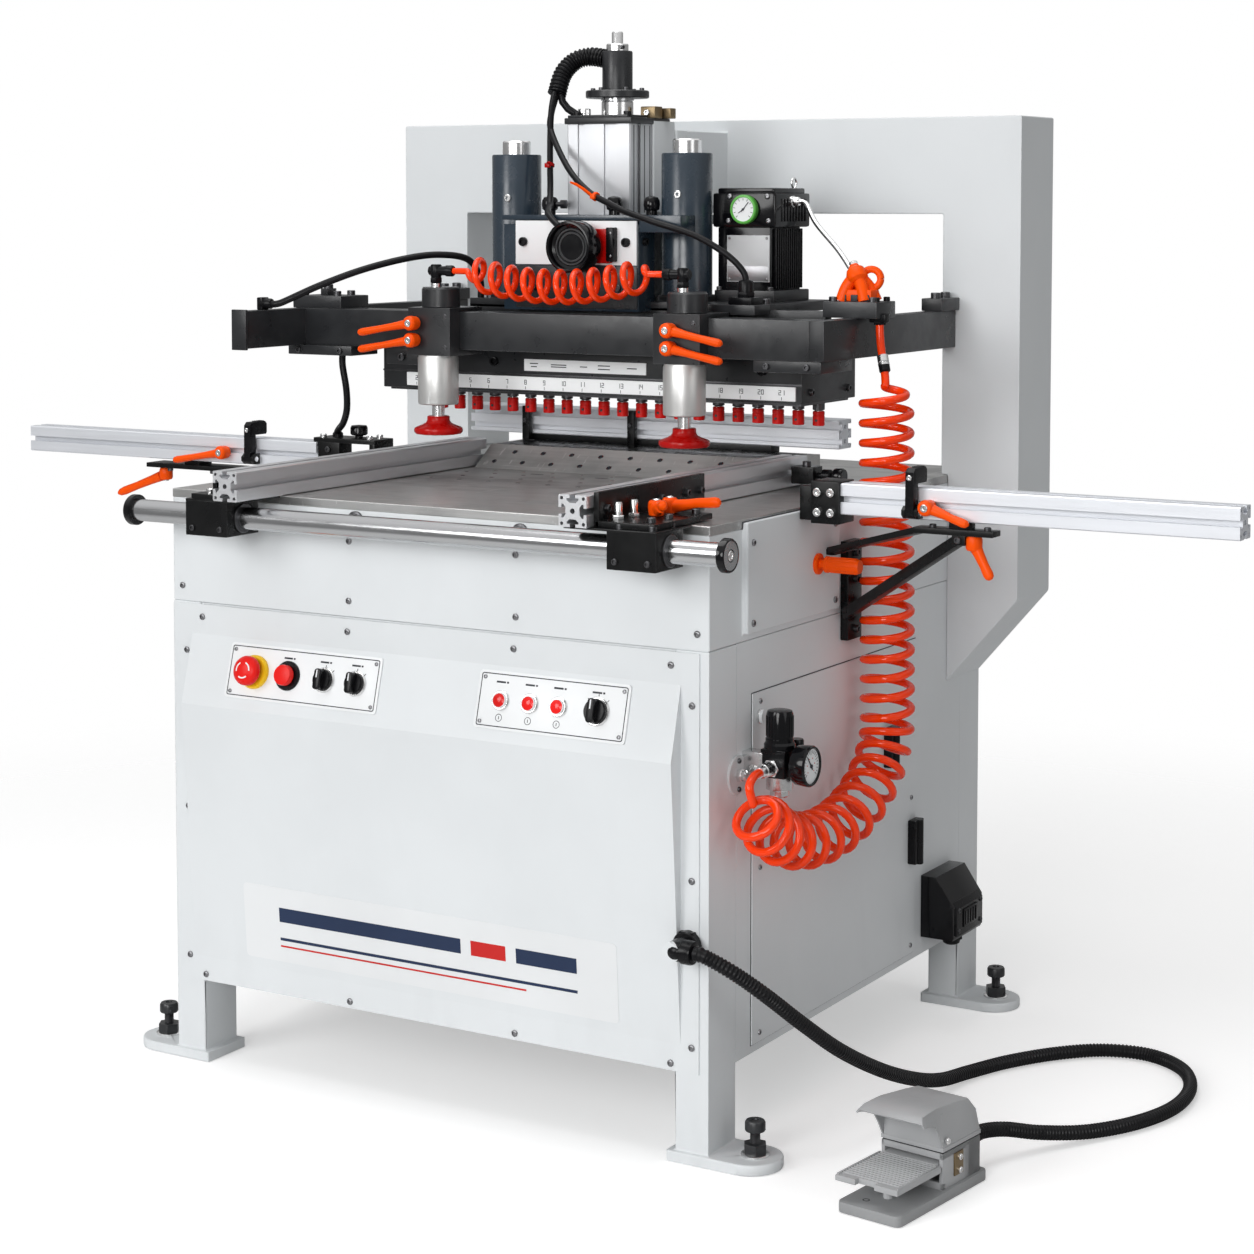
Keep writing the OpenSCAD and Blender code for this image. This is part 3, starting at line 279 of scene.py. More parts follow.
metal("rail_aluminium", (0.80, 0.81, 0.83), 0.36, (1, 0.02, 1), 500, bare=0.9)
metal("fence_aluminium", (0.78, 0.80, 0.84), 0.42, (0.02, 1, 1), 500, bare=0.5)
metal("cylinder_aluminium", (0.60, 0.61, 0.63), 0.4, (1, 1, 0.02), 450, bare=0.6)
metal("barrel_steel", (0.62, 0.62, 0.61), 0.38, (0.15, 0.15, 2), 400, bare=0.65)
metal("chrome", (0.54, 0.545, 0.555), 0.17, (0.1, 2, 2), 250)
metal("bright_steel", (0.80, 0.80, 0.80), 0.22)
metal("screw_steel", (0.28, 0.28, 0.29), 0.32)
metal("dark_steel", (0.10, 0.10, 0.105), 0.36)
metal("brass", (0.24, 0.18, 0.105), 0.4, (1, 1, 0.1))


def table_shade(wire):
    lines = wire.grain(240, 3, (0.04, 1, 1)).span(0.25, 0.75)
    smudge = wire.grain(7, 5, (1, 1.6, 1)).span(0.42, 0.7)
    scratch = (wire.grain(60, 2, (3, 0.05, 1)).span(0.66, 0.7)
               + wire.grain(70, 2, (0.06, 2, 1)).span(0.67, 0.7))
    worn = (smudge * 0.75 + lines * 0.2).tint((0.60, 0.60, 0.59), (0.27, 0.27, 0.27))
    return (scratch * 0.45).tint(worn, (0.8, 0.8, 0.79))


def table_gloss(wire):
    smudge = wire.grain(7, 5, (1, 1.6, 1)).span(0.42, 0.7, 0.0, 0.16)
    return 0.26 + smudge + wire.grain(240, 3, (0.04, 1, 1)) * 0.1


for steel, bare in (("table_steel", 0.88), ("bed_steel", 0.3)):
    finish(steel, table_shade, table_gloss, bare, bump=lambda wire: wire.grain(420, 2, (0.04, 1, 1)),
           depth=0.00003)
print("finishes:", len(finishes))

# %% [markdown]
# ## Making shapes
# A real machine part is several plain solids joined: blocks with broken edges, turned pieces and
# extrusions. A Shape gathers such solids in one mesh, each with its own finish, and then becomes one
# piece that rides on a CAD body and may stand in for CAD nodes. Blocks get a small bevel, because no
# real edge is perfectly sharp and the bevel is what catches the light.

# %% The shape builder
ALONG_X = Matrix(((0, 0, 1, 0), (1, 0, 0, 0), (0, 1, 0, 0), (0, 0, 0, 1)))
ALONG_Y = Matrix(((1, 0, 0, 0), (0, 0, 1, 0), (0, 1, 0, 0), (0, 0, 0, 1)))
FRONT, BACK, LEFT, RIGHT = (0, -1, 0), (0, 1, 0), (-1, 0, 0), (1, 0, 0)
UP, DOWN = (0, 0, 1), (0, 0, -1)
SHARP = math.radians(32)


def spin(degrees):
    """A matrix that turns things about Z."""
    return Matrix.Rotation(math.radians(degrees), 4, "Z")


def facing(point, normal):
    """A place with its own Z along normal and its own Y as near to up as that allows."""
    z = Vector(normal).normalized()
    side = Vector(UP).cross(z)
    x = side.normalized() if side.length > 1e-6 else Vector(RIGHT)
    turn = Matrix((x, z.cross(x), z)).transposed().to_4x4()
    return Matrix.Translation(Vector(point)) @ turn


def ring_frames(path):
    """Tangent and two sides for each point of a path, carried along so that a tube doesn't twist."""
    frames, side = [], Vector((1, 0.02, 0.03))
    for k in range(len(path)):
        along = (path[min(k + 1, len(path) - 1)] - path[max(k - 1, 0)]).normalized()
        side = (side - along * side.dot(along)).normalized()
        frames.append((along, side, along.cross(side)))
    return frames


class Shape:
    """Solids with finishes that end up as one mesh piece."""

    def __init__(self):
        self.mesh, self.used = bmesh.new(), []

    def keep(self, solid, look, place, edge=0.0):
        """Adds a solid with its finish, its sharp edges bevelled if an edge is given."""
        if edge:
            creases = [e for e in solid.edges if len(e.link_faces) == 2 and e.calc_face_angle() > SHARP]
            bmesh.ops.bevel(solid, geom=creases, offset=edge, segments=2, profile=0.6, affect="EDGES")
        solid.transform(place or Matrix())
        bmesh.ops.recalc_face_normals(solid, faces=solid.faces)
        if look not in self.used:
            self.used.append(look)
        for face in solid.faces:
            face.material_index, face.smooth = self.used.index(look), True
        scratch = bpy.data.meshes.new("scratch")
        solid.to_mesh(scratch)
        solid.free()
        self.mesh.from_mesh(scratch)
        bpy.data.meshes.remove(scratch)
        return self

    def block(self, x, y, z, look, edge, place=None):
        """A box between two x, two y and two z."""
        solid = bmesh.new()
        bmesh.ops.create_cube(solid, size=1)
        for v in solid.verts:
            v.co = Vector((s[0] if c < 0 else s[1] for s, c in zip((x, y, z), v.co)))
        return self.keep(solid, look, place, min(edge, *(0.45 * (s[1] - s[0]) for s in (x, y, z))))

    def blocks(self, look, *boxes):
        """Boxes of one finish, each with its edge last."""
        for x, y, z, edge in boxes:
            self.block(x, y, z, look, edge)

    def prism(self, outline, span, look, place=None, holes=(), edge=0.0):
        """A flat outline, with holes, pushed from one height to another."""
        solid = bmesh.new()
        for loop in (outline, *holes):
            ring = [solid.verts.new((p[0], p[1], span[0])) for p in loop]
            for a, b in zip(ring, ring[1:] + ring[:1]):
                solid.edges.new((a, b))
        bmesh.ops.triangle_fill(solid, use_beauty=True, edges=solid.edges[:])
        if not holes:
            bmesh.ops.dissolve_limit(solid, angle_limit=0.01, verts=[], edges=solid.edges[:])
        pushed = bmesh.ops.extrude_face_region(solid, geom=solid.faces[:])["geom"]
        for v in pushed:
            if isinstance(v, bmesh.types.BMVert):
                v.co.z = span[1]
        return self.keep(solid, look, place, edge)

    def lathe(self, profile, look, place, sides):
        """A turned piece: radius and height of each point of its profile, from the bottom up."""
        solid, rows = bmesh.new(), []
        for r, h in profile:
            if r < 1e-6:
                rows.append([solid.verts.new((0, 0, h))])
            else:
                rows.append([solid.verts.new((r * math.cos(a), r * math.sin(a), h))
                             for a in (2 * math.pi * k / sides for k in range(sides))])
        for low, high in zip(rows, rows[1:]):
            for k in range(sides):
                ends = [low[k % len(low)], low[(k + 1) % len(low)],
                        high[(k + 1) % len(high)], high[k % len(high)]]
                ends = list(dict.fromkeys(ends))
                if len(ends) > 2:
                    solid.faces.new(ends)
        for row, far in ((rows[0], False), (rows[-1], True)):
            if len(row) > 2 and profile[0] != profile[-1]:
                solid.faces.new(row if far else row[::-1])
        if profile[0] == profile[-1]:
            bmesh.ops.remove_doubles(solid, verts=solid.verts[:], dist=1e-4)
        return self.keep(solid, look, place)

    def tube(self, path, radius, look, sides, flat=1.0, place=None):
        """A round or flattened bar along a path; radius is one number or one for each point."""
        path = [Vector(p) for p in path]
        radii = radius if isinstance(radius, (list, tuple)) else [radius] * len(path)
        solid, rows = bmesh.new(), []
        for point, r, (_, side, up) in zip(path, radii, ring_frames(path)):
            rows.append([solid.verts.new(point + r * (math.cos(a) * side + flat * math.sin(a) * up))
                         for a in (2 * math.pi * k / sides for k in range(sides))])
        for low, high in zip(rows, rows[1:]):
            for k in range(sides):
                solid.faces.new((low[k], low[(k + 1) % sides], high[(k + 1) % sides], high[k]))
        solid.faces.new(rows[0][::-1])
        solid.faces.new(rows[-1])
        return self.keep(solid, look, place)

    def bolt(self, point, normal, head, tall, look="screw_steel"):
        """A round-headed socket screw."""
        r = head / 2
        return self.lathe([(r, 0), (r, tall * 0.45), (r * 0.86, tall * 0.8), (r * 0.6, tall), (r * 0.5, tall),
                           (r * 0.46, tall * 0.4), (0, tall * 0.35)], look, facing(point, normal), 16)

    def cap_screw(self, point, normal, head, tall, look="dark_steel"):
        """A cylinder-headed socket screw."""
        r = head / 2
        return self.lathe([(r, 0), (r, tall - 0.8), (r - 0.8, tall), (r * 0.55, tall), (r * 0.5, tall * 0.5),
                           (0, tall * 0.5)], look, facing(point, normal), 20)

    def lever(self, hub, axis, toward, reach):
        """A clamping lever: a hub with a screw in it and a long rounded handle."""
        look, place = "orange_plastic", facing(hub, axis)
        ahead = place.to_3x3().inverted() @ Vector(toward)
        place = place @ Matrix.Rotation(math.atan2(ahead.y, ahead.x), 4, "Z")
        self.lathe([(7, 0), (9.5, 1.5), (10.5, 12), (10, 17), (8, 19.5), (5.2, 20), (5.2, 19)],
                   look, place, 28)
        self.lathe([(5, 18), (5, 20.6), (4.2, 21.4), (2.6, 21.4), (2.4, 19.6), (0, 19.6)],
                   "bright_steel", place, 18)
        stations = [(5, 9, 8.5), (16, 11, 7.6), (30, 13.5, 6.4), (reach * 0.55, 16, 6.0),
                    (reach * 0.8, 17.5, 6.6), (reach - 7, 18.5, 6.8),
                    (reach - 2.5, 18.8, 5.6), (reach, 19, 2.6)]
        self.tube([(x, 0, z) for x, z, _ in stations], [r for _, _, r in stations], look, 16, 0.82, place)

    def piece(self, name, body, slot, *stands_for):
        """One object that rides on a body and stands for CAD nodes."""
        self.mesh.transform(TO_FRAME)
        data = bpy.data.meshes.new(name)
        self.mesh.to_mesh(data)
        self.mesh.free()
        for look in self.used:
            data.materials.append(finishes[look])
        data.set_sharp_from_angle(angle=SHARP)
        made = bpy.data.objects.new(name, data)
        bpy.context.scene.collection.objects.link(made)
        if body:
            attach(made, body)
        if stands_for:
            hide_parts(*stands_for)
        print(name, len(data.polygons), "faces")
        return made


def circle(radius, centre=(0, 0), sides=24):
    return [(centre[0] + radius * math.cos(a), centre[1] + radius * math.sin(a))
            for a in (2 * math.pi * k / sides for k in range(sides))]


def arc(radius, first, step, count, centre=(0, 0)):
    """Points on a circle, from an angle on and a step apart, in degrees."""
    return [(centre[0] + radius * math.cos(a), centre[1] + radius * math.sin(a))
            for a in (math.radians(first + step * k) for k in range(count))]


def rectangle(x, y):
    return [(x[0], y[0]), (x[1], y[0]), (x[1], y[1]), (x[0], y[1])]


def rounded(width, height, radius, centre=(0, 0)):
    """Outline of a rectangle with round corners."""
    outline, steps = [], 5
    for k, (sx, sy) in enumerate(((1, 1), (-1, 1), (-1, -1), (1, -1))):
        for i in range(steps + 1):
            a = math.pi / 2 * (k + i / steps)
            outline.append((centre[0] + sx * (width / 2 - radius) + radius * math.cos(a),
                            centre[1] + sy * (height / 2 - radius) + radius * math.sin(a)))
    return outline


print("shape builder ready")

# %% [markdown]
# ## Studio
# A pale floor and plain soft light: one large lamp at the front left, weaker ones in front and overhead
# and a low fill on the right, so the cabinet's front is bright and its side falls into shade. The world
# is white to the camera and in reflections, and dimmer as a light. The floor fades out into it.

# %% Floor, lamps and world


def lamp(name, spot, aim, size, watts):
    data = bpy.data.lights.new(name, "AREA")
    data.shape, data.size, data.energy = "DISK", size, watts
    made = bpy.data.objects.new(name, data)
    made.location = spot
    made.rotation_euler = (Vector(aim) - Vector(spot)).to_track_quat("-Z", "Y").to_euler()
    bpy.context.scene.collection.objects.link(made)


lamp("key", (-1.7, -4.7, 2.4), (0, 0, 0.8), 2.4, 94)
lamp("front", (1.2, -4.8, 1.7), (0.3, 0, 0.8), 2.0, 84)
lamp("overhead", (-0.2, -0.4, 3.9), (0, 0, 0.8), 2.6, 52)
lamp("fill", (4.2, -1.2, 1.7), (0.4, 0, 0.7), 2.0, 13)

WORLD_LIGHT, FLOOR_GLOW = 0.29, 0.42
FLOOR_R, FLOOR_FADE = 5.0, (1.1, 2.6)

world = bpy.data.worlds.new("studio")
world.use_nodes = True
bpy.context.scene.world = world
sky = Wire(world.node_tree)
backdrop = world.node_tree.nodes["Background"]
backdrop.inputs["Color"].default_value = (1, 1, 1, 1)
looked, glossy, through = (sky.node("ShaderNodeLightPath", out=f"Is {ray} Ray")
                           for ray in ("Camera", "Glossy", "Transmission"))
seen = sky.math("MAXIMUM", looked, through)
height = sky.node("ShaderNodeSeparateXYZ", None, {0: sky.node("ShaderNodeTexCoord", out="Generated")}, "Z")
mirrored = glossy * height.span(0.0, 0.8, 0.05, 0.9)
shown = sky.math("MAXIMUM", seen, mirrored)
sky.feed(backdrop.inputs["Strength"], sky.math("MAXIMUM", shown, WORLD_LIGHT))

floor_mesh = bpy.data.meshes.new("floor")
rim = [(x, y, 0) for x, y in circle(FLOOR_R, sides=64)]
floor_mesh.from_pydata(rim, [], [range(len(rim))])
floor = bpy.data.objects.new("floor", floor_mesh)
floor.location.z = -0.0005
bpy.context.scene.collection.objects.link(floor)
pale = finish("floor_pale", (0.8, 0.8, 0.8), 0.9)
glow = Wire(pale.node_tree)
shader = pale.node_tree.nodes["Principled BSDF"]
shader.inputs["Emission Color"].default_value = (1, 1, 1, 1)
glow.feed(shader.inputs["Emission Strength"], glow.node("ShaderNodeLightPath",
                                                        out="Is Camera Ray") * FLOOR_GLOW)
reach = glow.node("ShaderNodeVectorMath", {"operation": "LENGTH"}, {0: glow.spot()}, "Value")
glow.feed(shader.inputs["Alpha"], reach.span(*FLOOR_FADE, 1.0, 0.0))
floor_mesh.materials.append(pale)
print("studio ready")

# %% [markdown]
# ## Hoses and cables
# Each hose has a fixed length and runs on one smooth line, so its centreline comes first and its skin
# second. The routes are those of the CAD solids. A route through chosen points is a Catmull-Rom curve,
# walked at even steps so that the ribs of a conduit are evenly spaced.

# %% Routes


def along_route(points, steps):
    """Evenly spaced points on a smooth curve through the given ones."""
    points = [Vector(p) for p in points]
    reached = [0.0]
    for a, b in zip(points, points[1:]):
        reached.append(reached[-1] + (b - a).length)
    path, last = [], len(points) - 1
    for k in range(steps + 1):
        goal = reached[-1] * k / steps
        i = max(j for j in range(last) if reached[j] <= goal + 1e-9)
        f = (goal - reached[i]) / (reached[i + 1] - reached[i])
        a, b, c, d = points[max(i - 1, 0)], points[i], points[i + 1], points[min(i + 2, last)]
        path.append(0.5 * (2 * b + (c - a) * f + (2 * a - 5 * b + 4 * c - d) * f ** 2
                           + (3 * b - a - 3 * c + d) * f ** 3))
    return path


def metres(path):
    return [TO_FRAME @ Vector(p) for p in path]


def run_length(path):
    return sum((b - a).length for a, b in zip(path, path[1:])) / 1000


def ease(t):
    t = min(max(t, 0), 1)
    return t * t * (3 - 2 * t)


def declare(piece, path):
    """Prints how long a hose is."""
    line = metres(path)
    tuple(line[0])
    run_length(path)
    print(piece.name, "length", round(run_length(path), 3), "m")


# %% [markdown]
# ## The tall curly hose
# It brings air from the unit on the side up to the clamp beam. Its curls are wound on an axis that
# hangs straight down and then swings up in half an ellipse. The curls start and end on the axis, so
# their radius grows from nothing over the first part of a turn.

# %% Tall curly hose
AIR_HOSE = 11
RINGS = 26
OPEN_CURLS, BEND_CURLS, CURL_R = 17, 13, 32
COIL_X, COIL_TOP, COIL_LOW = 478, (390, 952), (400, 500)
BEND_Y, BEND_DEEP, BEND_SWEEP = 203, 118, 160


def riser_axis(c):
    """Point of the axis after c curls."""
    if c <= OPEN_CURLS:
        t = c / OPEN_CURLS
        return Vector((COIL_X, *(high + (low - high) * t for high, low in zip(COIL_TOP, COIL_LOW))))
    a = math.radians(BEND_SWEEP * (c - OPEN_CURLS) / BEND_CURLS)
    return Vector((COIL_X, BEND_Y + (COIL_LOW[0] - BEND_Y) * math.cos(a),
                   COIL_LOW[1] - BEND_DEEP * math.sin(a)))


def riser_turn(c):
    """Point of the hose after c curls."""
    ahead = (riser_axis(c + 0.05) - riser_axis(max(c - 0.05, 0))).normalized()
    across = Vector(RIGHT)
    a = 2 * math.pi * c + math.pi
    r = CURL_R * ease(c / 0.75 + 0.12) * ease((OPEN_CURLS + BEND_CURLS - c) / 0.75 + 0.12)
    return riser_axis(c) + r * (math.cos(a) * across + math.sin(a) * ahead.cross(across))


def smooth(points, rounds=2):
    """Corner-cutting, which keeps both ends."""
    for _ in range(rounds):
        cut = [points[0]]
        for a, b in zip(points, points[1:]):
            cut += [a * 0.75 + b * 0.25, a * 0.25 + b * 0.75]
        points = cut + [points[-1]]
    return points


INLET = (470, 64, 492)
riser_lead = [Vector(p) for p in ((458, 410, 1040), (458, 410, 1026), (462, 406, 1000), (472, 398, 968))]
riser_tail = [Vector(p) for p in ((474, 10, 482), (472, 26, 491), (471, 42, 493), (470, 53, 492), INLET)]
turns = [riser_turn(k / RINGS) for k in range((OPEN_CURLS + BEND_CURLS) * RINGS + 1)]
riser_path = smooth(riser_lead + turns[:1])[:-1] + turns + smooth(turns[-1:] + riser_tail)[1:]
riser = Shape().tube(riser_path, AIR_HOSE / 2, "orange_hose", 14)
riser = riser.piece("tall_hose", "machine", "orange_hose", "riser_coil")
ferrules = Shape()
ferrules.lathe([(5.7, 0), (9, 0), (9, 8), (8, 9), (8, 16), (7, 19), (5.7, 19)], "bright_steel",
               facing(INLET, FRONT), 24)
ferrules.prism(circle(9, sides=6), (1031, 1040), "black_plastic", shift(458, 410, 0), edge=0.8)
collar = facing((465.6, 403.4, 990), (0.29, -0.25, -0.92))
ferrules.lathe([(5.6, -1), (7.6, 0), (7.6, 9), (6.8, 10), (7.8, 11), (7.8, 14)], "bright_steel", collar, 24)
ferrules.lathe([(7.6, 14), (7.6, 22), (5.6, 24)], "black_plastic", collar, 24)
ferrules.piece("tall_hose_fittings", "machine", "bright_steel")
declare(riser, riser_path)

# %% [markdown]
# ## The short curly hose
# It joins the two hold-downs, which slide apart. It is made as two halves, one from each hold-down, which
# meet in the middle.

# %% Short curly hose
CLAMP_HOSE, CLAMP_CURLS, CLAMP_R = 9, 11, 21
CLAMP_X, HOSE_Y, ELBOW_Z, SAG = (-175, 228), 281, 1098, 20
HOSE_ENDS = (CLAMP_X[0] + 30, CLAMP_X[1] - 30)


def clamp_turn(c):
    """Point of the hose after c curls."""
    t = c / CLAMP_CURLS
    a = 2 * math.pi * c + math.pi
    first, last = HOSE_ENDS[0] + 24, HOSE_ENDS[1] - 24
    r = CLAMP_R * ease(c / 0.7 + 0.1) * ease((CLAMP_CURLS - c) / 0.7 + 0.1)
    return Vector((first + (last - first) * t, HOSE_Y + r * math.cos(a),
                   ELBOW_Z - 4 * SAG * t * (1 - t) + r * math.sin(a)))


half = CLAMP_CURLS * RINGS // 2
turns = [clamp_turn(k / RINGS) for k in range(CLAMP_CURLS * RINGS + 1)]
for side, x, way, curls in (("left", HOSE_ENDS[0], 1, turns[:half + 1]),
                            ("right", HOSE_ENDS[1], -1, turns[:half - 1:-1])):
    lead = [Vector((x + reach * way, HOSE_Y, ELBOW_Z)) for reach in (0, 10)]
    path = smooth(lead + curls[:1])[:-1] + curls
    made = Shape().tube(path, CLAMP_HOSE / 2, "orange_hose", 14)
    made = made.piece(side + "_curls", None, "orange_hose", "clamp_coil")
    side + "_clamp"
    at(*path[0])
    at(*turns[half])
    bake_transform(made)
    declare(made, path)

# %% [markdown]
# ## Ribbed conduits and plain cables
# A ribbed conduit is a tube whose radius rises and falls, four rings to a rib. The cables leave its
# mouth, drop beside the feed cylinder and run to the horn and the motor's gland.

# %% Conduits and cables


def ribbed(points, thick, pitch, name, stands_for, deep, free=True):
    """A conduit; free says whether its length is printed."""
    ribs = round(run_length(along_route(points, 200)) * 1000 / pitch)
    path = along_route(points, ribs * 4)
    radii = [thick / 2 * (1 - deep * (0, 0.12, 1, 0.88)[k % 4]) for k in range(len(path))]
    made = Shape().tube(path, radii, "rubber", 20).piece(name, "machine", "black_rubber", stands_for)
    if free:
        declare(made, path)


def cable(points, thick, name, look="rubber"):
    path = smooth(along_route(points, 6 * len(points)), 1)
    made = Shape().tube(path, thick / 2, look, 14).piece(name, "machine", "black_rubber")
    declare(made, path)


CONDUIT = [(-21, 490, 1403), (-44, 487, 1406), (-63, 476, 1400), (-74, 460, 1381), (-76, 446, 1351)]
HORN_CABLE = [(-76, 441, 1357), (-79, 436, 1328), (-76, 428, 1290), (-70, 418, 1250), (-62, 406, 1216),
              (-53, 390, 1192), (-44, 372, 1186), (-32, 354, 1178), (-16, 346, 1166), (6, 342, 1152)]
MOTOR_CABLE = [(-76, 450, 1357), (-84, 444, 1324), (-76, 430, 1298), (-40, 408, 1254), (-8, 392, 1226),
               (26, 378, 1206), (56, 367, 1195), (92, 353, 1183), (145, 346, 1168), (205, 352, 1150),
               (250, 362, 1124), (273, 369, 1100), (276, 370, 1084)]
ARM_HOSE = [(-410, 205, 1049), (-396, 206, 1050), (-350, 238, 1075), (-300, 276, 1098), (-252, 318, 1114),
            (-218, 352, 1119), (-192, 386, 1112), (-182, 402, 1086), (-182, 405, 1056)]
DROP_HOSE = [(-367, 315, 972), (-367, 315, 955), (-362, 317, 920), (-368, 326, 890), (-388, 344, 868),
             (-412, 365, 856), (-424, 376, 849), (-424, 378, 843)]
BRAIDED = [(290, 500, 1196), (302, 499, 1193), (330, 474, 1166), (380, 442, 1130), (410, 421, 1104)]
PEDAL_HOSE = [(420, -36, 279), (440, -36, 277), (472, -18, 256), (500, 10, 226), (525, 65, 178),
              (543, 130, 131), (555, 218, 84), (560, 310, 46), (562, 395, 20), (572, 470, 11), (600, 540, 10),
              (645, 608, 10), (698, 655, 10), (760, 666, 10), (818, 630, 10), (852, 560, 10), (858, 478, 10),
              (836, 400, 10), (796, 330, 12), (756, 270, 22), (728, 222, 36), (713, 186, 42), (709, 159, 42)]

ribbed(CONDUIT, 28, 5.2, "head_conduit", "head_cables", deep=0.16, free=False)
cable(HORN_CABLE, 9, "horn_cable")
cable(MOTOR_CABLE, 9, "motor_cable")
cable(ARM_HOSE, 10, "arm_hose")
cable(DROP_HOSE, 10, "drop_hose")
cable(BRAIDED, 7, "braided_hose", "bright_steel")
ribbed(PEDAL_HOSE, 19, 5.0, "pedal_conduit", "pedal_hose", deep=0.13)

# %% [markdown]
# ## The painted cabinet
# The cabinet, the table box and the portal are folded sheet and box section, and their CAD solids
# already have the right shape. They stay, and get a welded, softly rounded edge from modifiers, because
# an imported solid has a hard edge and a split seam along every face.

# %% Dress the CAD nodes


def dress(node, look, edge):
    """Gives a CAD node a finish and a rounded edge."""
    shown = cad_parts[node]
    shown.data.materials.clear()
    shown.data.materials.append(finishes[look])
    weld = shown.modifiers.new("weld", "WELD")
    weld.merge_threshold = 0.00002
    soft = shown.modifiers.new("edge", "BEVEL")
    soft.width, soft.segments, soft.angle_limit = edge / 1000, 2, SHARP
    soft.harden_normals = True
    print(node, "dressed in", look)


for node, edge in (("base_frame", 2.5), ("table_box", 2.5), ("arch", 5), ("front_console", 1.5),
                   ("cabinet_panels", 0.6)):
    dress(node, "body_grey", edge)

# %% [markdown]
# ## Screws on the sheet metal
# The panels are held by round-headed socket screws. Their places were read from the photograph, and the
# same pattern is repeated on the left side and the back, which the photograph doesn't show.

# %% Panel screws
screws = Shape()
FLANGE_FRONT, BOX_FRONT, SIDE, COVER_FACE, SIDE_COVER_FACE, REAR = -2, 0, 425, 427, 433, 834


def sheet_screws(normal, xs, ys, zs, head=9, tall=2.6):
    """Screws at every mix of the given places."""
    for x in xs:
        for y in ys:
            for z in zs:
                screws.bolt((x, y, z), normal, head, tall)


sheet_screws(FRONT, (-400, 402), (FLANGE_FRONT,), (577, 358, 148))
sheet_screws(FRONT, (-372, -124, 140, 372), (FLANGE_FRONT,), (625, 124))
sheet_screws(FRONT, (-408, -123, 142, 408), (BOX_FRONT,), (666,))
sheet_screws(FRONT, (-122, 142), (BOX_FRONT,), (746,))
sheet_screws(RIGHT, (SIDE_COVER_FACE,), (99, 330), (770, 668))
sheet_screws(RIGHT, (COVER_FACE,), (130, 590), (136, 350, 564), 7, 2.2)
sheet_screws(LEFT, (-SIDE,), (90, 417, 744), (133, 380, 628))
sheet_screws(BACK, (-360, 0, 360), (REAR,), (133, 380, 628))
for x, z in ((-475, 700), (-475, 950), (-475, 1248), (0, 1248), (475, 1248), (475, 950), (475, 700)):
    screws.bolt((x, REAR, z), BACK, 8.5, 2.8)
screws.piece("panel_screws", "machine", "bright_steel")

# %% [markdown]
# ## Seams and front panel
# A sheet that is screwed on leaves a thin gap along its edge, which lies in shade. The shade is painted:
# a narrow dark strip that stands a hair proud of the sheet behind. The front also carries a pale panel
# with plain stripes.

# %% Seams and stripes
seams = Shape()


def outline_strips(ys, zs, wide):
    """Four strips of painted shade round a sheet that lies against the right side."""
    proud = (SIDE, SIDE + 0.5)
    for y in ys:
        seams.block(proud, (y - wide / 2, y + wide / 2), zs, "print_dark", 0)
    for z in zs:
        seams.block(proud, ys, (z - wide / 2, z + wide / 2), "print_dark", 0)


outline_strips((109.6, 604.4), (123.6, 576.4), 1.6)
outline_strips((83.6, 345.4), (654.6, 796.4), 1.2)
lower_slope = facing((0, -6.6, 214), (0, -386, -27))
seams.prism(rounded(596, 104, 6), (-0.2, 0.4), "panel_pale", lower_slope)
STRIPES = ((14, 20, (-238, 60), "navy_print"), (14, 20, (76, 130), "print_red"),
           (14, 20, (146, 238), "navy_print"), (-20, 4, (-238, 238), "navy_print"),
           (-30, 2.4, (-238, 160), "print_red"))
for up, tall, x, look in STRIPES:
    seams.block(x, (up - tall / 2, up + tall / 2), (0.2, 0.6), look, 0, lower_slope)
seams.piece("sheet_seams", "machine", "body_grey")

# %% [markdown]
# ## Levelling feet
# A jacking bolt stands in each foot plate: a hex nut on a washer locks it, and its cap is round.

# %% Levelling bolts
bolts = Shape()
for x in (-472, 472):
    for y in (35, 799):
        spot = shift(x, y, 0)
        bolts.lathe([(6.3, 14), (18, 14), (18, 16.4), (17, 17), (6.3, 17)], "bright_steel", spot, 32)
        bolts.prism(circle(15.5, sides=6), (17, 30), "black_steel", spot, edge=1.0)
        bolts.lathe([(6, 2), (6, 46)], "dark_steel", spot, 20)
        bolts.lathe([(7, 44), (12, 45), (13, 46.5), (13, 56), (11.5, 58.6), (5, 59), (4.5, 57), (0, 57)],
                    "black_steel", spot, 28)
        for turn in range(9):
            ridge = 30.4 + turn * 1.5
            bolts.lathe([(6, ridge), (6.6, ridge + 0.6), (6, ridge + 1.2)], "dark_steel", spot, 20)
bolts.piece("levelling_feet", "machine", "dark_steel", "levelling_bolts")

# %% [markdown]
# ## The control plates
# Two pale plates lie on the console's slope. A matrix puts their own plane there, so that everything on
# them is drawn flat: a printed border, short printed bars and ticks in place of words, screws, bezels,
# lamps and the yellow collar of the stop button.

# %% Control plates
SLOPE = math.atan2(27, 102)
OUT = Vector((0, -math.cos(SLOPE), math.sin(SLOPE)))
BUTTON_ROW = Vector((0, -52 * math.sin(SLOPE), 609 - 52 * math.cos(SLOPE)))
STOP_AT, START_AT, LAMPS_AT = -270, -214, (129, 173, 216)
SELECTORS = ((-153, 14.5, 17, 20), (-101, 14.5, 17, 20), (273, 16, 18.5, 22))
PLATE_TOP = 2.0
PRINT = (PLATE_TOP, PLATE_TOP + 0.12)


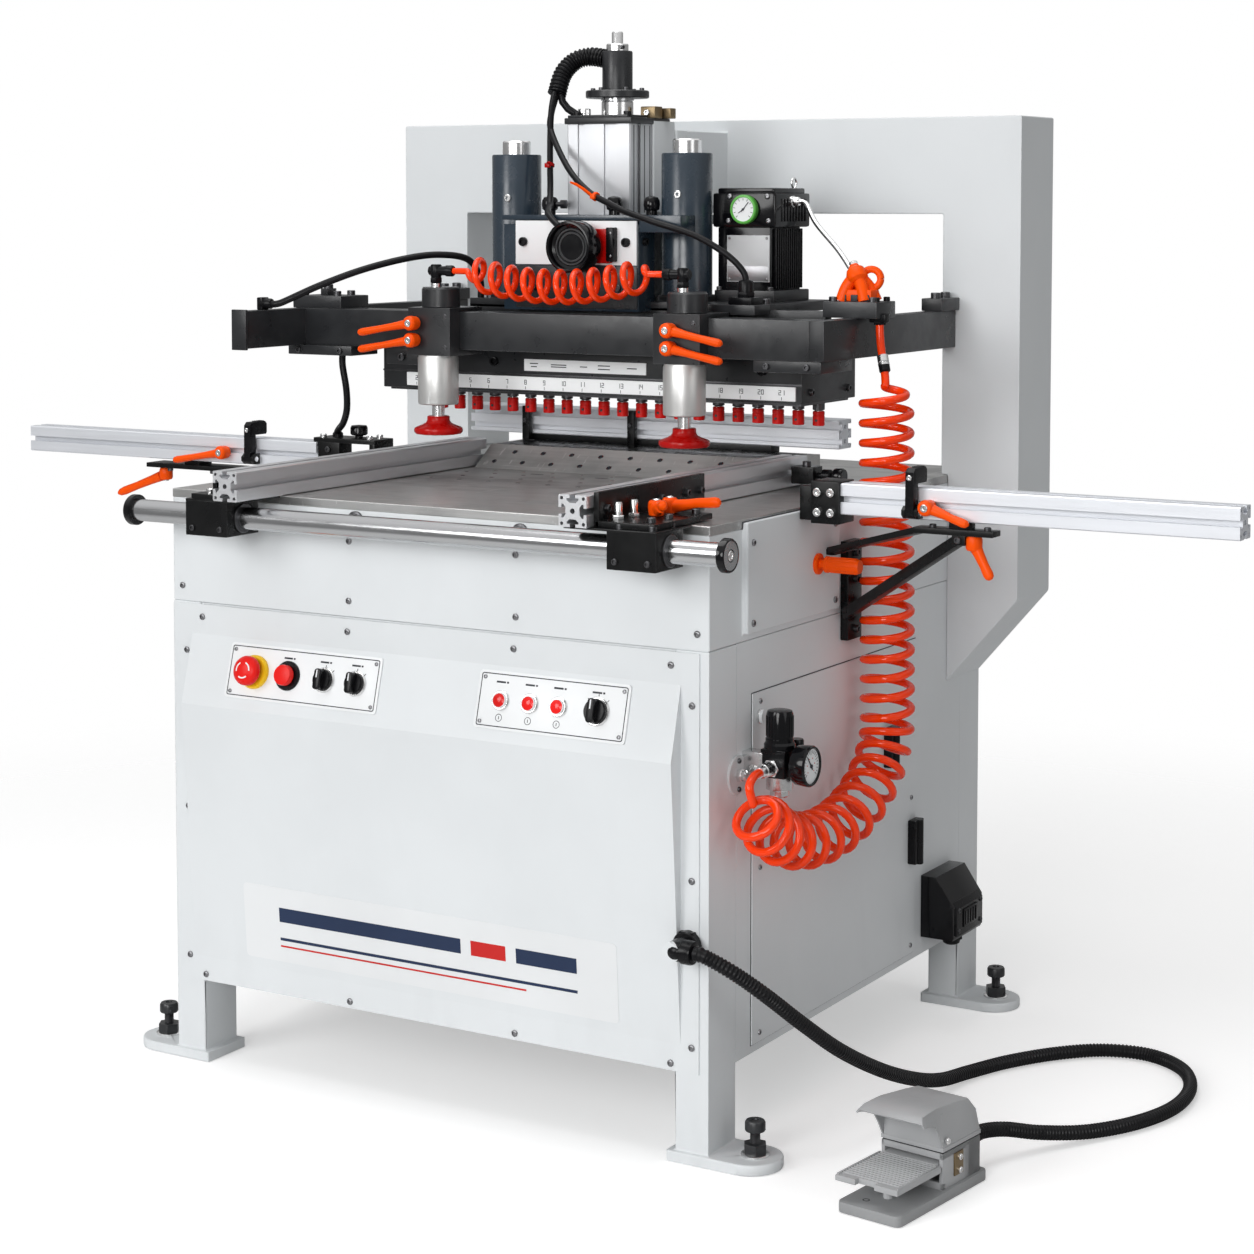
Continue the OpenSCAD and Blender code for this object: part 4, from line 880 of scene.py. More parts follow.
def on_slope(x, up=0.0, out=0.0):
    """A place on the slope, measured from the row of buttons."""
    return facing(BUTTON_ROW + Vector((x, 0, 0)), OUT) @ shift(0, up, out)


plates = Shape()
for x, w, h in ((-190, 254, 75), (205, 226, 75)):
    plates.prism(rounded(w, h, 5), (0.1, PLATE_TOP), "label_white", on_slope(x), edge=0.3)
    plates.prism(rounded(w - 7, h - 7, 3), PRINT, "print_dark", on_slope(x), [rounded(w - 9.6, h - 9.6, 2)])
    for sx in (-1, 1):
        for sy in (-1, 1):
            plates.bolt(on_slope(x + sx * (w / 2 - 9), sy * (h / 2 - 9), PLATE_TOP) @ Vector(), OUT, 5.5, 1.8)


def printed(wide, tall, place):
    plates.prism(rectangle((-wide / 2, wide / 2), (-tall / 2, tall / 2)), PRINT, "print_dark", place)


def turned(x, profile, look, sides):
    """A round piece on a plate; the profile's heights count from the plate."""
    plates.lathe([(r, PLATE_TOP + h) for r, h in profile], look, on_slope(x), sides)


def bezel(x, inner, outer, look):
    turned(x, [(inner, 0), (outer, 0), (outer, 2.2), (outer - 1.4, 3.4), (inner, 3.4)], look, 40)


for x in (START_AT, *LAMPS_AT, *(row[0] for row in SELECTORS)):
    printed(14, 2.4, on_slope(x - 3, 23.5))
    printed(3, 2.4, on_slope(x + 7, 23.5))
for x in LAMPS_AT:
    plates.prism(circle(5), PRINT, "print_dark", on_slope(x, -22), [circle(4.2)])
    printed(1, 4, on_slope(x, -22))
for x, _, _, tick_r in SELECTORS:
    for turn in (-45, 0, 45):
        printed(1, 3, on_slope(x) @ spin(turn) @ shift(0, tick_r - 1.5, 0))
bezel(START_AT, 14.6, 20, "black_plastic")
for x, _, bezel_r, _ in SELECTORS:
    bezel(x, 12.2, bezel_r, "bright_steel")
turned(STOP_AT, [(12.2, 0), (23, 0), (23, 4), (21, 7), (12.2, 7)], "yellow_plastic", 44)
for x in LAMPS_AT:
    turned(x, [(13, 0), (13, 2), (11.5, 3.4), (8.8, 3.4)], "bright_steel", 36)
    turned(x, [(9.6, 0), (9.6, 4), (8.6, 6), (5, 7.4), (0, 7.8)], "red_lens", 32)
plates.piece("control_plates", "machine", "body_grey")

# %% [markdown]
# ## Buttons and selectors
# These move, so each is a piece of its own on its own body: the mushroom of the stop button, the red
# start button and three selector knobs with a white pointer.

# %% Buttons and selectors
stop = Shape()
stop.lathe([(11, -14), (11, 9.5), (12, 9.5), (12, 16)], "black_plastic", on_slope(STOP_AT), 32)
stop.lathe([(15, 15), (18.5, 15.5), (20, 17.5), (20, 23), (18.6, 26), (14, 29), (7, 30.6), (0, 31)],
           "button_red", on_slope(STOP_AT), 44)
for turn in (0, 120, 240):
    arrow = arc(11.5, turn, 6, 13) + arc(9.6, turn + 72, -6, 13)
    stop.prism(arrow, (29.2, 30.1), "label_white", on_slope(STOP_AT))
stop.piece("stop_mushroom", "stop_button", "red_plastic", "stop_button")
start = Shape()
start.lathe([(11, -14), (11, 6.4), (12, 6.4), (14, 8.4), (14, 14), (13.2, 16.4), (8, 17.2), (0, 17.5)],
            "button_red", on_slope(START_AT), 40)
start.piece("start_cap", "start_button", "red_plastic", "start_button")
for k, (x, r, _, _) in enumerate(SELECTORS, 1):
    knob = Shape()
    knob.lathe([(11, -14), (11, 5.6), (r, 5.6), (r, 9), (r - 1.5, 11), (0, 11)],
               "black_plastic", on_slope(x), 40)
    knob.prism(rounded(9.5, 2 * r - 1, 4.5), (10.5, 21), "black_plastic", on_slope(x), edge=1.2)
    knob.prism(rectangle((-0.9, 0.9), (2, r - 2.5)), (21, 21.2), "label_white", on_slope(x))
    knob.piece(f"selector_knob_{k}", f"selector_{k}", "black_plastic", f"selector_{k}")

# %% [markdown]
# ## The table
# The table is a ground steel plate and keeps its CAD solid. Behind the rails lies a raised bed with a ramp
# in front. A black insert fills its pocket, and the drills pass through a row of holes in it. The small
# tapped holes are shallow rings with a dark middle, which is painted shade in place of their depth.

# %% Table, bed and tapped holes
TABLE, BED = 800, 832
SPINDLE_Y = 505
SPINDLES, SPACING = 21, 32
SPINDLE_X = [(index - SPINDLES // 2) * SPACING for index in range(SPINDLES)]
BED_X, RAMP_Y, INSERT_Y, BED_BACK = (-226, 266), (452, 496), (499, 592), 618

dress("work_table", "table_steel", 1.2)
bed = Shape()
bed.prism([(RAMP_Y[0], TABLE + 0.1), (BED_BACK, TABLE + 0.1), (BED_BACK, BED - 2), (INSERT_Y[1], BED - 2),
           (INSERT_Y[1], BED), (RAMP_Y[1] + 2, BED)], BED_X, "bed_steel", ALONG_X)
drill_holes = [circle(5, (x, SPINDLE_Y), 20) for x in SPINDLE_X if BED_X[0] + 14 < x < BED_X[1] - 14]
bed.prism(rectangle((BED_X[0] + 8, BED_X[1] - 8), INSERT_Y), (BED - 0.4, BED + 0.4), "black_plastic",
          holes=drill_holes, edge=0.2)
for x in (-205, -110, 20, 150, 245):
    bed.lathe([(4.4, 0), (4.2, 0.4), (2.2, 0.4), (2, 0), (0, 0)], "screw_steel", shift(x, 578, BED + 0.3), 18)


def tapped(place):
    """A chamfered ring with a middle of painted shade."""
    bed.lathe([(4.2, 0), (3.5, 0.25), (2.9, 0.1), (2.9, 0)], "bright_steel", place, 20)
    bed.lathe([(2.9, 0), (2.9, 0.12), (0, 0.12)], "print_dark", place, 20)


RAMP = Vector((0, RAMP_Y[1] - RAMP_Y[0], BED - TABLE))
up_ramp = RAMP.cross(Vector(LEFT))
for row, share in enumerate((0.3, 0.72)):
    for x in range(-200 + 25 * row, 246, 50):
        tapped(facing(Vector((x, RAMP_Y[0], TABLE)) + RAMP * share, up_ramp))
for row, y in enumerate((300, 346, 392, 432)):
    for x in range(-200 + 25 * (row % 2), 226, 50):
        tapped(shift(x, y, TABLE))
# Three dark rounded marks on the table stand for slots: painted shade of their openings.
for x in (-90, 20, 130):
    bed.prism(rounded(22, 6, 2.9, (x, 412)), (TABLE, TABLE + 0.12), "print_dark")
bed.piece("drilling_bed", "machine", "table_steel")

# %% [markdown]
# ## The guide rod
# A hard-chromed rod runs along the table's front and carries the two rails. It is turned, so a lathe
# profile along X gives the rod, and each end has a clamping collar with a screw in its middle.

# %% Guide rod
ROD_Y, ROD_Z, ROD_ENDS = -58, 775, (-440, 480)
rod = Shape()
rod_line = shift(0, ROD_Y, ROD_Z) @ ALONG_X
rod.lathe([(13.5, ROD_ENDS[0] - 1), (15, ROD_ENDS[0]), (15, ROD_ENDS[1]), (13.5, ROD_ENDS[1] + 1)], "chrome",
          rod_line, 48)
for x, way in zip(ROD_ENDS, (-1, 1)):
    end = facing((x, ROD_Y, ROD_Z), (way, 0, 0))
    rod.lathe([(15.2, -4), (20, -4), (21, -3), (21, 4.6), (20, 6.2), (18.4, 6.6), (18.4, 5)],
              "gloss_black", end, 40)
    rod.lathe([(18.6, 4), (18.4, 5.6), (17.6, 6.2), (8, 6.2), (7.6, 4)], "chrome", end, 40)
    rod.cap_screw((x + way * 4.6, ROD_Y, ROD_Z), (way, 0, 0), 13, 2.2, "bright_steel")
for x in (-110, 150):
    stud = facing((x, 0, ROD_Z), FRONT)
    rod.lathe([(12, 0), (12, 3), (10, 4), (6, 4), (6, 46)], "dark_steel", stud, 28)
    rod.prism(circle(9.5, sides=6), (4, 11), "dark_steel", stud, edge=0.7)
rod.piece("guide_rod_turned", "machine", "bright_steel", "guide_rod")

# %% [markdown]
# ## Slotted profiles
# The rails and fences are extruded aluminium with a T-shaped slot along each face. One slot is a list of
# a few points, each face of the outline repeats it, and the outline is pushed along the rail.

# %% Slotted profile
SLOT = [(-4, 0), (-4, 4.2), (-8.5, 4.2), (-8.5, 6.6), (-4.6, 10), (4.6, 10), (8.5, 6.6),
        (8.5, 4.2), (4, 4.2), (4, 0)]


def slotted(wide, tall, across=(0,), up=(0,)):
    """Outline of a profile with slots at the given places on its level and upright faces."""
    outline = []
    for turn in range(4):
        long, deep, slots = (wide / 2, tall / 2, across) if turn % 2 == 0 else (tall / 2, wide / 2, up)
        face = [(-long + 1.4, 0)] + [(c + s, d) for c in slots for s, d in SLOT] + [(long - 1.4, 0)]
        for s, d in face:
            x, y = s, d - deep
            for _ in range(turn):
                x, y = -y, x
            outline.append((x, y))
    return outline


def bores(wide, tall, cells=1):
    """Screw bores in the middle of each cell, and small ones in the corners."""
    cores = [circle(3.4, (0, (k - (cells - 1) / 2) * tall / cells), 16) for k in range(cells)]
    corners = [(sx * (wide / 2 - 4.4), sy * (tall / 2 - 4.4)) for sx in (-1, 1) for sy in (-1, 1)]
    return cores + [circle(2.3, corner, 10) for corner in corners]


PROFILE = 40
BAR = slotted(PROFILE, PROFILE)
print("profile outline:", len(BAR), "points")

# %% [markdown]
# ## The sliding rails
# Each rail rides on the rod with a black block and carries an angle and clamping levers. Everything that
# slides together is one piece on the rail's body.

# %% Rails
RAIL_X, RAIL_SPAN, RAIL_LIFT = (-250, 290), (-100, 490), 1
BLOCK_X = ((-324, -253), (333, 403))


def sliding_rail(side):
    """The profile with its block and the plate that joins them."""
    shape, x, block = Shape(), RAIL_X[side], BLOCK_X[side]
    middle = shift(x, 0, TABLE + RAIL_LIFT + PROFILE / 2)
    shape.prism(BAR, RAIL_SPAN, "rail_aluminium", middle @ ALONG_Y, bores(PROFILE, PROFILE))
    rod_hole = circle(15.5, (ROD_Y, ROD_Z), 40)
    shape.prism(rectangle((-92, -26), (752, 799)), block, "bracket_black", ALONG_X, [rod_hole], 1.6)
    shape.block((min(block[0], x - 18), max(block[1], x + 18)), (-92, -6),
                (798.2, 800.9), "bracket_black", 0.8)
    for face, way in zip(block, (-1, 1)):
        shape.lathe([(15.4, 0), (20, 0), (20, 1.4), (19, 2.2), (15.4, 2.2)], "dark_steel",
                    facing((face, ROD_Y, ROD_Z), (way, 0, 0)), 40)
    for corner in (block[0] + 12, block[1] - 12):
        for y in (-80, -36):
            shape.cap_screw((corner, y, 800.6), UP, 11, 6)
        shape.cap_screw((corner, -92, 762), FRONT, 8, 3)
    return shape


left = sliding_rail(0)
left.blocks("bracket_black", ((-314, -270.2), (-92, 60), (801, 808), 1),
            ((-277, -270.2), (-92, 60), (806, 836), 1))
left.lever((-292, -20, 808), UP, (math.cos(math.radians(35)), math.sin(math.radians(35)), 0), 60)
for y, look in ((-76, "bright_steel"), (-52, "dark_steel"), (24, "bright_steel"), (48, "dark_steel")):
    left.cap_screw((-294, y, 808), UP, 11, 6, look)
for y in (-70, 45):
    left.cap_screw((-277, y, 823), LEFT, 9, 4)
left.piece("left_rail_slotted", "left_rail", "profile_aluminium", "left_rail")

right = sliding_rail(1)
right.blocks("bracket_black", ((310.2, 318), (-84, 180), (801.2, 844), 1.2),
             ((312, 396), (-84, 60), (801.2, 809), 1.2))
for x, y in ((331, -60), (333, -26)):
    stud = shift(x, y, 809)
    right.prism(circle(7.4, sides=6), (0, 6), "bright_steel", stud, edge=0.6)
    right.lathe([(5, 6), (5, 20), (4, 22), (0, 22)], "bright_steel", stud, 24)
right.lever((352, 30, 809), UP, (0.99, -0.14, 0), 78)
right.lever((352, -4, 809), UP, (0.64, -0.77, 0), 56)
for y in (-66, 0, 66, 132, 168):
    right.cap_screw((318, y, 823), RIGHT, 10, 5)
for x, y in ((379, -62), (379, -20), (380, 46)):
    right.cap_screw((x, y, 809), UP, 11, 6)
right.block((310.2, 344), (440, 470), (806, 830), "bracket_black", 1.6)
right.cap_screw((327, 455, 830), UP, 12, 7)
end_knob = facing((344, 455, 818), RIGHT)
right.lathe([(4, 0), (4, 8), (9, 9), (9, 20), (7.5, 22), (0, 22)], "black_plastic", end_knob, 24)
right.lathe([(4, 20), (4, 26), (11, 27), (11.6, 30), (11.6, 38), (10, 41), (0, 41)],
            "gloss_black", end_knob, 28)
right.piece("right_rail_slotted", "right_rail", "profile_aluminium", "right_rail")

# %% [markdown]
# ## The fences
# Two long fences carry the ends of a panel, and a third one stands on a black bar at the table's back
# edge, whose black is painted shade of the gap under that fence. They are the same kind of extrusion, so
# the outline is used again.

# %% Fences
FENCE_Z, FENCE_REACH = 796, 1015
FENCE_FRONT = (345, 225)
FENCE_SPAN = ((-FENCE_REACH, -440), (492, FENCE_REACH))
REAR_SPAN, REAR_Y, REAR_Z = (-325, 310), (590, 630), (841, 883)
fences = Shape()
for front, span in zip(FENCE_FRONT, FENCE_SPAN):
    middle = shift(0, front + PROFILE / 2, FENCE_Z + PROFILE / 2)
    fences.prism(BAR, span, "fence_aluminium", middle @ ALONG_X, bores(PROFILE, PROFILE))
fences.prism(slotted(PROFILE, 42, (), (-10.5, 10.5)), REAR_SPAN, "fence_aluminium",
             shift(0, sum(REAR_Y) / 2, sum(REAR_Z) / 2) @ ALONG_X, bores(PROFILE, 42, 2))
fences.piece("slotted_fences", "machine", "profile_aluminium", "fence_profiles")

# %% [markdown]
# ## Brackets of the fences
# The right fence hangs on an end plate and a swing arm, which rises from a post on the cabinet's side and
# is held by a slanting brace. The left one ends in a block on the table, under a strap with a knob.
# Plates are blocks with broken edges, the arm and the brace are flat bars between two points.

# %% Fence brackets
brackets = Shape()


def flat_bar(first, last, wide, thick):
    """A flat bar between two points, with its thin side up."""
    run = Vector(last) - Vector(first)
    brackets.block((-wide / 2, wide / 2), (-thick / 2, thick / 2), (0, run.length), "bracket_black", 0.8,
                   facing(first, run))


def hanging_lever(top, tip):
    """A clamping lever whose arm hangs below its hub."""
    hub = facing(top, DOWN)
    brackets.lathe([(7, 0), (8.5, 1), (10.5, 6), (10.5, 17), (9, 20), (5, 21)], "orange_plastic", hub, 28)
    brackets.lathe([(4.4, 20), (4.4, 22.4), (0, 22.4)], "bright_steel", hub, 18)
    root = Vector(top) - Vector((0, 0, 12))
    arm = Vector(tip) - root
    brackets.tube([root + arm * t for t in (0.1, 0.3, 0.6, 0.85, 0.95, 1)], [8.2, 7, 6.2, 6.8, 5.6, 2.6],
                  "orange_plastic", 16, 0.85)


brackets.blocks("bracket_black", ((452, 492), (219, 265), (783, 838), 1.5),
                ((433.2, 452.5), (225, 262), (786, 830), 1.2))
for x in (463, 482):
    for z in (798, 824):
        brackets.cap_screw((x, 219, z), FRONT, 11, 6, "bright_steel")
brackets.block((425.2, 437), (362, 404), (608, 742), "bracket_black", 1.4)
for z in (622, 690, 726):
    brackets.cap_screw((437, 383, z), RIGHT, 11, 6)
brackets.block((433.2, 446), (302, 370), (731, 739), "bracket_black", 1)
flat_bar((440, 313, 737), (606, 225, 784), 24, 8)
brackets.block((598, 706), (214, 240), (780.4, 788), "bracket_black", 1)
flat_bar((436, 357, 645), (659, 222, 775), 12, 14)
brackets.block((650, 668), (216, 232), (768, 783), "bracket_black", 1.2)
brackets.cap_screw((659, 216, 775), FRONT, 9, 4)
brackets.block((640, 672), (230, 240), (787.6, 796), "bracket_black", 0.8)
for x in (620, 694):
    brackets.cap_screw((x, 227, 788), UP, 9, 4)
hand_screw = facing((433.2, 278, 722), RIGHT)
brackets.lathe([(14, 0), (14, 3), (12, 4.4), (6, 4.4), (6, 12), (11, 12.6), (11, 16), (10, 17), (10, 58),
                (8.8, 61.6), (0, 62)], "orange_plastic", hand_screw, 32)
for x, y in circle(9.6, sides=12):
    brackets.tube([hand_screw @ Vector((x, y, reach)) for reach in (19, 57)], 1.1, "orange_plastic", 8)
hanging_lever((676, 227, 782), (700, 224, 727))
brackets.lever((617, 225, 813), FRONT, (0.96, 0, -0.28), 62)

brackets.blocks("bracket_black", ((-440, -400), (349, 381), (800.2, 837), 1.4),
                ((-448, -335), (349, 397), (836, 843), 1.2), ((-345, -335), (349, 397), (800.2, 837), 1.2))
brackets.lathe([(6, 0), (6, 3), (11, 4), (13, 6), (13, 15), (11.4, 18.4), (5, 19), (4.6, 18), (0, 18)],
               "gloss_black", shift(-383, 376, 843), 32)
for x, y in ((-352, 360), (-352, 386), (-436, 358)):
    brackets.cap_screw((x, y, 843), UP, 10, 5, "bright_steel")
for z in (811, 826):
    brackets.cap_screw((-420, 349, z), FRONT, 9, 4)
brackets.lathe([(8, 0), (8, 5), (6.4, 7), (5.2, 8)], "black_plastic", shift(-424, 378, 842.6), 24)
brackets.blocks("bracket_black", ((-772, -560), (344, 386), (782, 789), 1),
                ((-700, -670), (350, 380), (788.6, 796), 1))
hanging_lever((-750, 365, 782), (-844, 360, 735))
brackets.lever((-612, 345, 813), FRONT, (-0.98, 0, -0.17), 90)
for x in (-730, -645, -580):
    brackets.cap_screw((x, 352, 782), DOWN, 9, 5)
STOP_X, PIVOT_Z = (-558, 596), 806
EAR = ((0, -8), (0, 8), (-12, 8), (-18, 3), (-18, -3), (-12, -8))
PIN = ((2.4, -13), (4, -12.6), (4, -11), (2.8, -11), (2.8, 11), (4, 11), (4, 12.6), (2.4, 13))
for x, front in zip(STOP_X, FENCE_FRONT):
    for ear in (x - 11, x + 6.4):
        brackets.prism([(front + y, PIVOT_Z + z) for y, z in EAR], (ear, ear + 4.6),
                       "bracket_black", ALONG_X, edge=0.5)
    brackets.lathe([(r, x + along) for r, along in PIN], "bright_steel",
                   shift(0, front - 10, PIVOT_Z) @ ALONG_X, 18)
# The bar under the rear fence holds it up, and its black is painted shade of the gap beneath the fence.
brackets.block((-226, 200), (592, 618), (830, 841), "bracket_black", 1)
for x in (-218, -31):
    brackets.block((x - 6, x + 6), (579, 589.8), (BED, 884), "bracket_black", 1.2)
    brackets.cap_screw((x, 579, 862), FRONT, 7, 3)
brackets.piece("fence_bracket_set", "machine", "black_steel", "fence_brackets")

# %% [markdown]
# ## Flip stops
# A stop swings up over its fence to catch the panel's end, and turns on a pin. Its side view is an
# outline: a round eye, a blade and a hooked top.

# %% Flip stops
BLADE = ((-3, 842), (22, 842), (24, 845), (24, 858), (20, 862), (-12, 862), (-17, 857))
for name, x, front in zip(("left_stop", "right_stop"), STOP_X, FENCE_FRONT):
    eye = arc(8, 180, 15, 13, (front - 10, PIVOT_Z))
    blade = [(front + y, z) for y, z in BLADE]
    flip = Shape()
    flip.prism(eye + blade, (x - 5.9, x + 5.9), "black_plastic", ALONG_X,
               [circle(3.2, (front - 10, PIVOT_Z), 20)], 0.8)
    flip.cap_screw((x, front - 16.6, 850), FRONT, 7, 3, "bright_steel")
    for k in range(4):
        flip.block((x - 5, x + 5), (front + 1 + 5 * k, front + 3 + 5 * k), (861.4, 863), "black_plastic", 0.5)
    flip.piece(name + "_blade", name, "black_plastic", name)

# %% [markdown]
# ## The clamp beam
# A black square bar crosses the machine in front of the drills, with an arm at each end that is bolted
# to the portal. The hold-downs slide on it. Blocks with broken edges and real screw heads are enough,
# because on the real one there is no shape beyond sawn and milled bar.

# %% Clamp beam
BEAM_Y, BEAM_Z = (287, 337), (986, 1040)
BEAM_TOP = BEAM_Z[1]
beam = Shape()
beam.blocks("black_steel", ((-414, 414), BEAM_Y, BEAM_Z, 1.6), ((414, 436), (287, 713), BEAM_Z, 1.6),
            ((-436, -414), (150, 713), BEAM_Z, 1.6), ((-438, -412), (147, 152), (984, 1042), 1),
            ((-440, -352), (292, 360), (BEAM_TOP, 1058), 1.4), ((-440, -325), (280, 345), (972, 986), 1.2),
            ((-271, -214), (292, 330), (962, 986), 1.2), ((330, 430), (290, 385), (970, 986), 1.2),
            ((385, 465), (385, 445), (BEAM_TOP, 1062), 1.4))
for side in (-1, 1):
    inner, outer = sorted((side * 410, side * 442))
    beam.block((inner, outer), (650, 713), (BEAM_TOP, 1058), "black_steel", 1.4)
    for y in (664, 698):
        beam.cap_screw((side * 426, y, 1058), UP, 14, 8)
arm_bolt = shift(-400, 326, 0)
beam.prism(circle(12.5, sides=6), (1058, 1068), "black_steel", arm_bolt, edge=1)
beam.lathe([(7, 1068), (7, 1073), (6, 1074.4), (0, 1074.4)], "dark_steel", arm_bolt, 24)
for x, y in ((-372, 310), (-372, 344), (-428, 306)):
    beam.cap_screw((x, y, 1058), UP, 12, 7)
for x in (-420, -345):
    beam.cap_screw((x, 280, 979), FRONT, 9, 4)
beam.cap_screw((-242, 292, 973), FRONT, 11, 6)
for x in (350, 410):
    beam.cap_screw((x, 290, 978), FRONT, 9, 4)
for x, y in ((396, 396), (454, 396), (396, 434)):
    beam.cap_screw((x, y, 1062), UP, 10, 6)
beam.lathe([(9, 0), (9, 6), (7.5, 7), (7.5, 16), (6.4, 18), (5, 18)], "black_plastic",
           facing((-428, 205, 1049), RIGHT), 24)
beam.block((-432, -422), (197, 213), (BEAM_TOP, 1058), "black_plastic", 1.6)
beam.piece("clamp_beam_bolted", "machine", "black_steel", "clamp_beam")

# %% [markdown]
# ## The hold-downs
# Each is a block that wraps the beam, locked by two levers, with an air cylinder under it and an elbow
# on top. The block is an outline with a square hole, pushed along the beam, so the beam really passes
# through it.

# %% Hold-downs
CLAMP_Y = 285
LEVERS = ((-197, 190), (222, -10))
for side, (name, x) in enumerate(zip(("left_clamp", "right_clamp"), CLAMP_X)):
    clamp = Shape()
    clamp.prism(rectangle((262, 344), (978, 1046)), (x - 36, x + 36), "black_steel", ALONG_X,
                [rectangle((286.5, 337.5), (985.5, 1040.5))], 1.2)
    under = shift(x, CLAMP_Y, 0)
    clamp.lathe([(10, 908), (26.5, 908), (28.4, 909), (29, 911), (29, 974), (28, 976), (28, 978)],
                "barrel_steel", under, 56)
    clamp.lathe([(9.3, 906.5), (13, 906.5), (14, 908)], "dark_steel", under, 32)
    above = shift(x, CLAMP_Y + 8, 0)
    clamp.lathe([(26, 1046), (27.5, 1047), (27.5, 1072), (25.6, 1074.6), (8, 1075)], "black_steel", above, 56)
    elbow = shift(x, HOSE_Y, 0)
    clamp.lathe([(7.6, 1074.5), (7.6, 1080), (6.6, 1081)], "bright_steel", elbow, 24)
    clamp.prism(circle(9, sides=6), (1081, 1088), "black_plastic", elbow, edge=0.7)
    clamp.lathe([(7.4, 1088), (7.4, 1090), (8, 1091), (8, 1105), (6.8, 1107), (0, 1107)],
                "black_plastic", elbow, 28)
    way = 1 if side == 0 else -1
    clamp.lathe([(6.6, -10), (6.6, 18), (8, 18.6), (8, 28), (7, 29.6), (4.6, 30)], "black_plastic",
                facing((x, HOSE_Y, ELBOW_Z), (way, 0, 0)), 26)
    lever_x, turn = LEVERS[side]
    toward = (math.cos(math.radians(turn)), 0, math.sin(math.radians(turn)))
    for z in (1024, 1000):
        washer = facing((lever_x, 262, z), FRONT)
        clamp.lathe([(8, 0), (8, 1.2), (7, 1.6), (5, 1.6)], "dark_steel", washer, 24)
        clamp.lever((lever_x, 261, z), FRONT, toward, 88)
    for z in (990, 1034):
        clamp.cap_screw((x + (26 if side else 27), 262, z), FRONT, 7, 0.8)
    clamp.piece(name + "_block", name, "dark_casting", name)

# %% [markdown]
# ## The pressing feet
# Red pads on bright rods press the panel down. Pad and rod are turned, so both are lathe profiles.

# %% Pressing feet
for name, x in zip(("left_foot", "right_foot"), CLAMP_X):
    foot, spot = Shape(), shift(x, CLAMP_Y, 865)
    foot.lathe([(27, 0), (32.6, 1), (34.4, 3), (35, 6), (34.2, 9), (31, 10.6), (22.5, 13.8), (18.4, 16.2),
                (16.6, 18.6), (16, 21), (16, 24.8), (15, 26), (9, 26)], "red_plastic", spot, 56)
    foot.lathe([(0, 0.4), (26, 0.4), (27, 0)], "rubber", spot, 40)
    foot.lathe([(9, 25), (9, 108)], "bright_steel", spot, 40)
    foot.piece(name + "_pad", name, "pad_red", name)

# %% [markdown]
# ## The drilling head's carrier
# The carrier is a welded block with a pale cover plate in front, a plate on top and two dark sleeves, in
# which the head's rods slide. The sleeves are open at the top so that the rods can be seen to go in.

# %% Carrier
COLUMN_X, COLUMN_Y, FEED_Y = 143, 442, 490
BASE_TOP, HEAD_TOP = 1056, 1177
carrier = Shape()
carrier.blocks("black_steel", ((-195, 300), (395, 590), (1042, BASE_TOP), 1.6),
               ((180, 300), (350, 396), (1042, BASE_TOP), 1.6))
carrier.blocks("slate_paint", ((-112, 112), (360, 405), (1042, 1164), 1.6),
               ((-112, 112), (404, 590), (1163, HEAD_TOP), 1.6),
               ((-114, 114), (358, 406), (1170, HEAD_TOP), 1.2),
               ((111, 178), (362, 404), (1153, HEAD_TOP), 1.6))
carrier.block((-112, 60), (560, 590), (1042, 1300), "body_grey", 1.6)
carrier.block((-195, 384), (395, 415), (1026, 1048), "black_steel", 1.2)
carrier.block((-90, 110.5), (357, 360.4), (1107, 1169), "label_white", 0.8)
carrier.block((-90, 110.5), (357.6, 360.4), (1046, 1105), "black_steel", 0.8)
for x in (-76, 94):
    carrier.cap_screw((x, 357, 1139), FRONT, 13, 5, "black_plastic")
for x in (-60, 80):
    carrier.cap_screw((x, 357.6, 1075), FRONT, 11, 4)
carrier.cap_screw((112, 376, 1140), RIGHT, 11, 5, "black_plastic")
for side in (-1, 1):
    sleeve = shift(side * COLUMN_X, COLUMN_Y, 0)
    carrier.lathe([(21.5, 1030), (34, 1030), (36, 1032), (36, 1262), (34.8, 1264), (22.6, 1264),
                   (21.5, 1262.6), (21.5, 1190)], "slate_paint", sleeve, 64)
    carrier.lathe([(42, BASE_TOP), (42, BASE_TOP + 7), (40.4, BASE_TOP + 9), (36, BASE_TOP + 9)],
                  "black_steel", sleeve, 64)
for x, z in ((-136, 1201), (148, 1206)):
    carrier.lathe([(5.6, -3), (5.6, 0.6), (4.8, 1.2), (2.6, 1.2), (2.4, -0.4), (0, -0.4)], "bright_steel",
                  facing((x, 406.2, z), FRONT), 24)
for x, y in ((-170, 412), (-170, 570), (150, 570), (196, 366), (290, 402)):
    carrier.cap_screw((x, y, BASE_TOP), UP, 12, 7)
carrier.block((258, 294), (352, 388), (BASE_TOP, 1066), "black_plastic", 1.6)
gland = shift(276, 370, 0)
carrier.prism(circle(13, sides=6), (1066, 1073), "black_plastic", gland, edge=1)
carrier.lathe([(11, 1073), (11, 1084), (9.6, 1088), (6, 1090), (4.8, 1090)], "black_plastic", gland, 32)
for x, y in ((-74, 424), (38, 418), (96, 424)):
    stand = shift(x, y, HEAD_TOP)
    carrier.lathe([(8, 0), (8, 6), (11, 8), (12, 14), (11.4, 21), (8.6, 25), (4, 26.6), (0, 27)],
                  "gloss_black", stand, 30)
carrier.lathe([(4, 0), (4, 8), (7, 8), (7, 15), (5, 16)], "dark_steel", facing((-62, 424, 1192), RIGHT), 6)

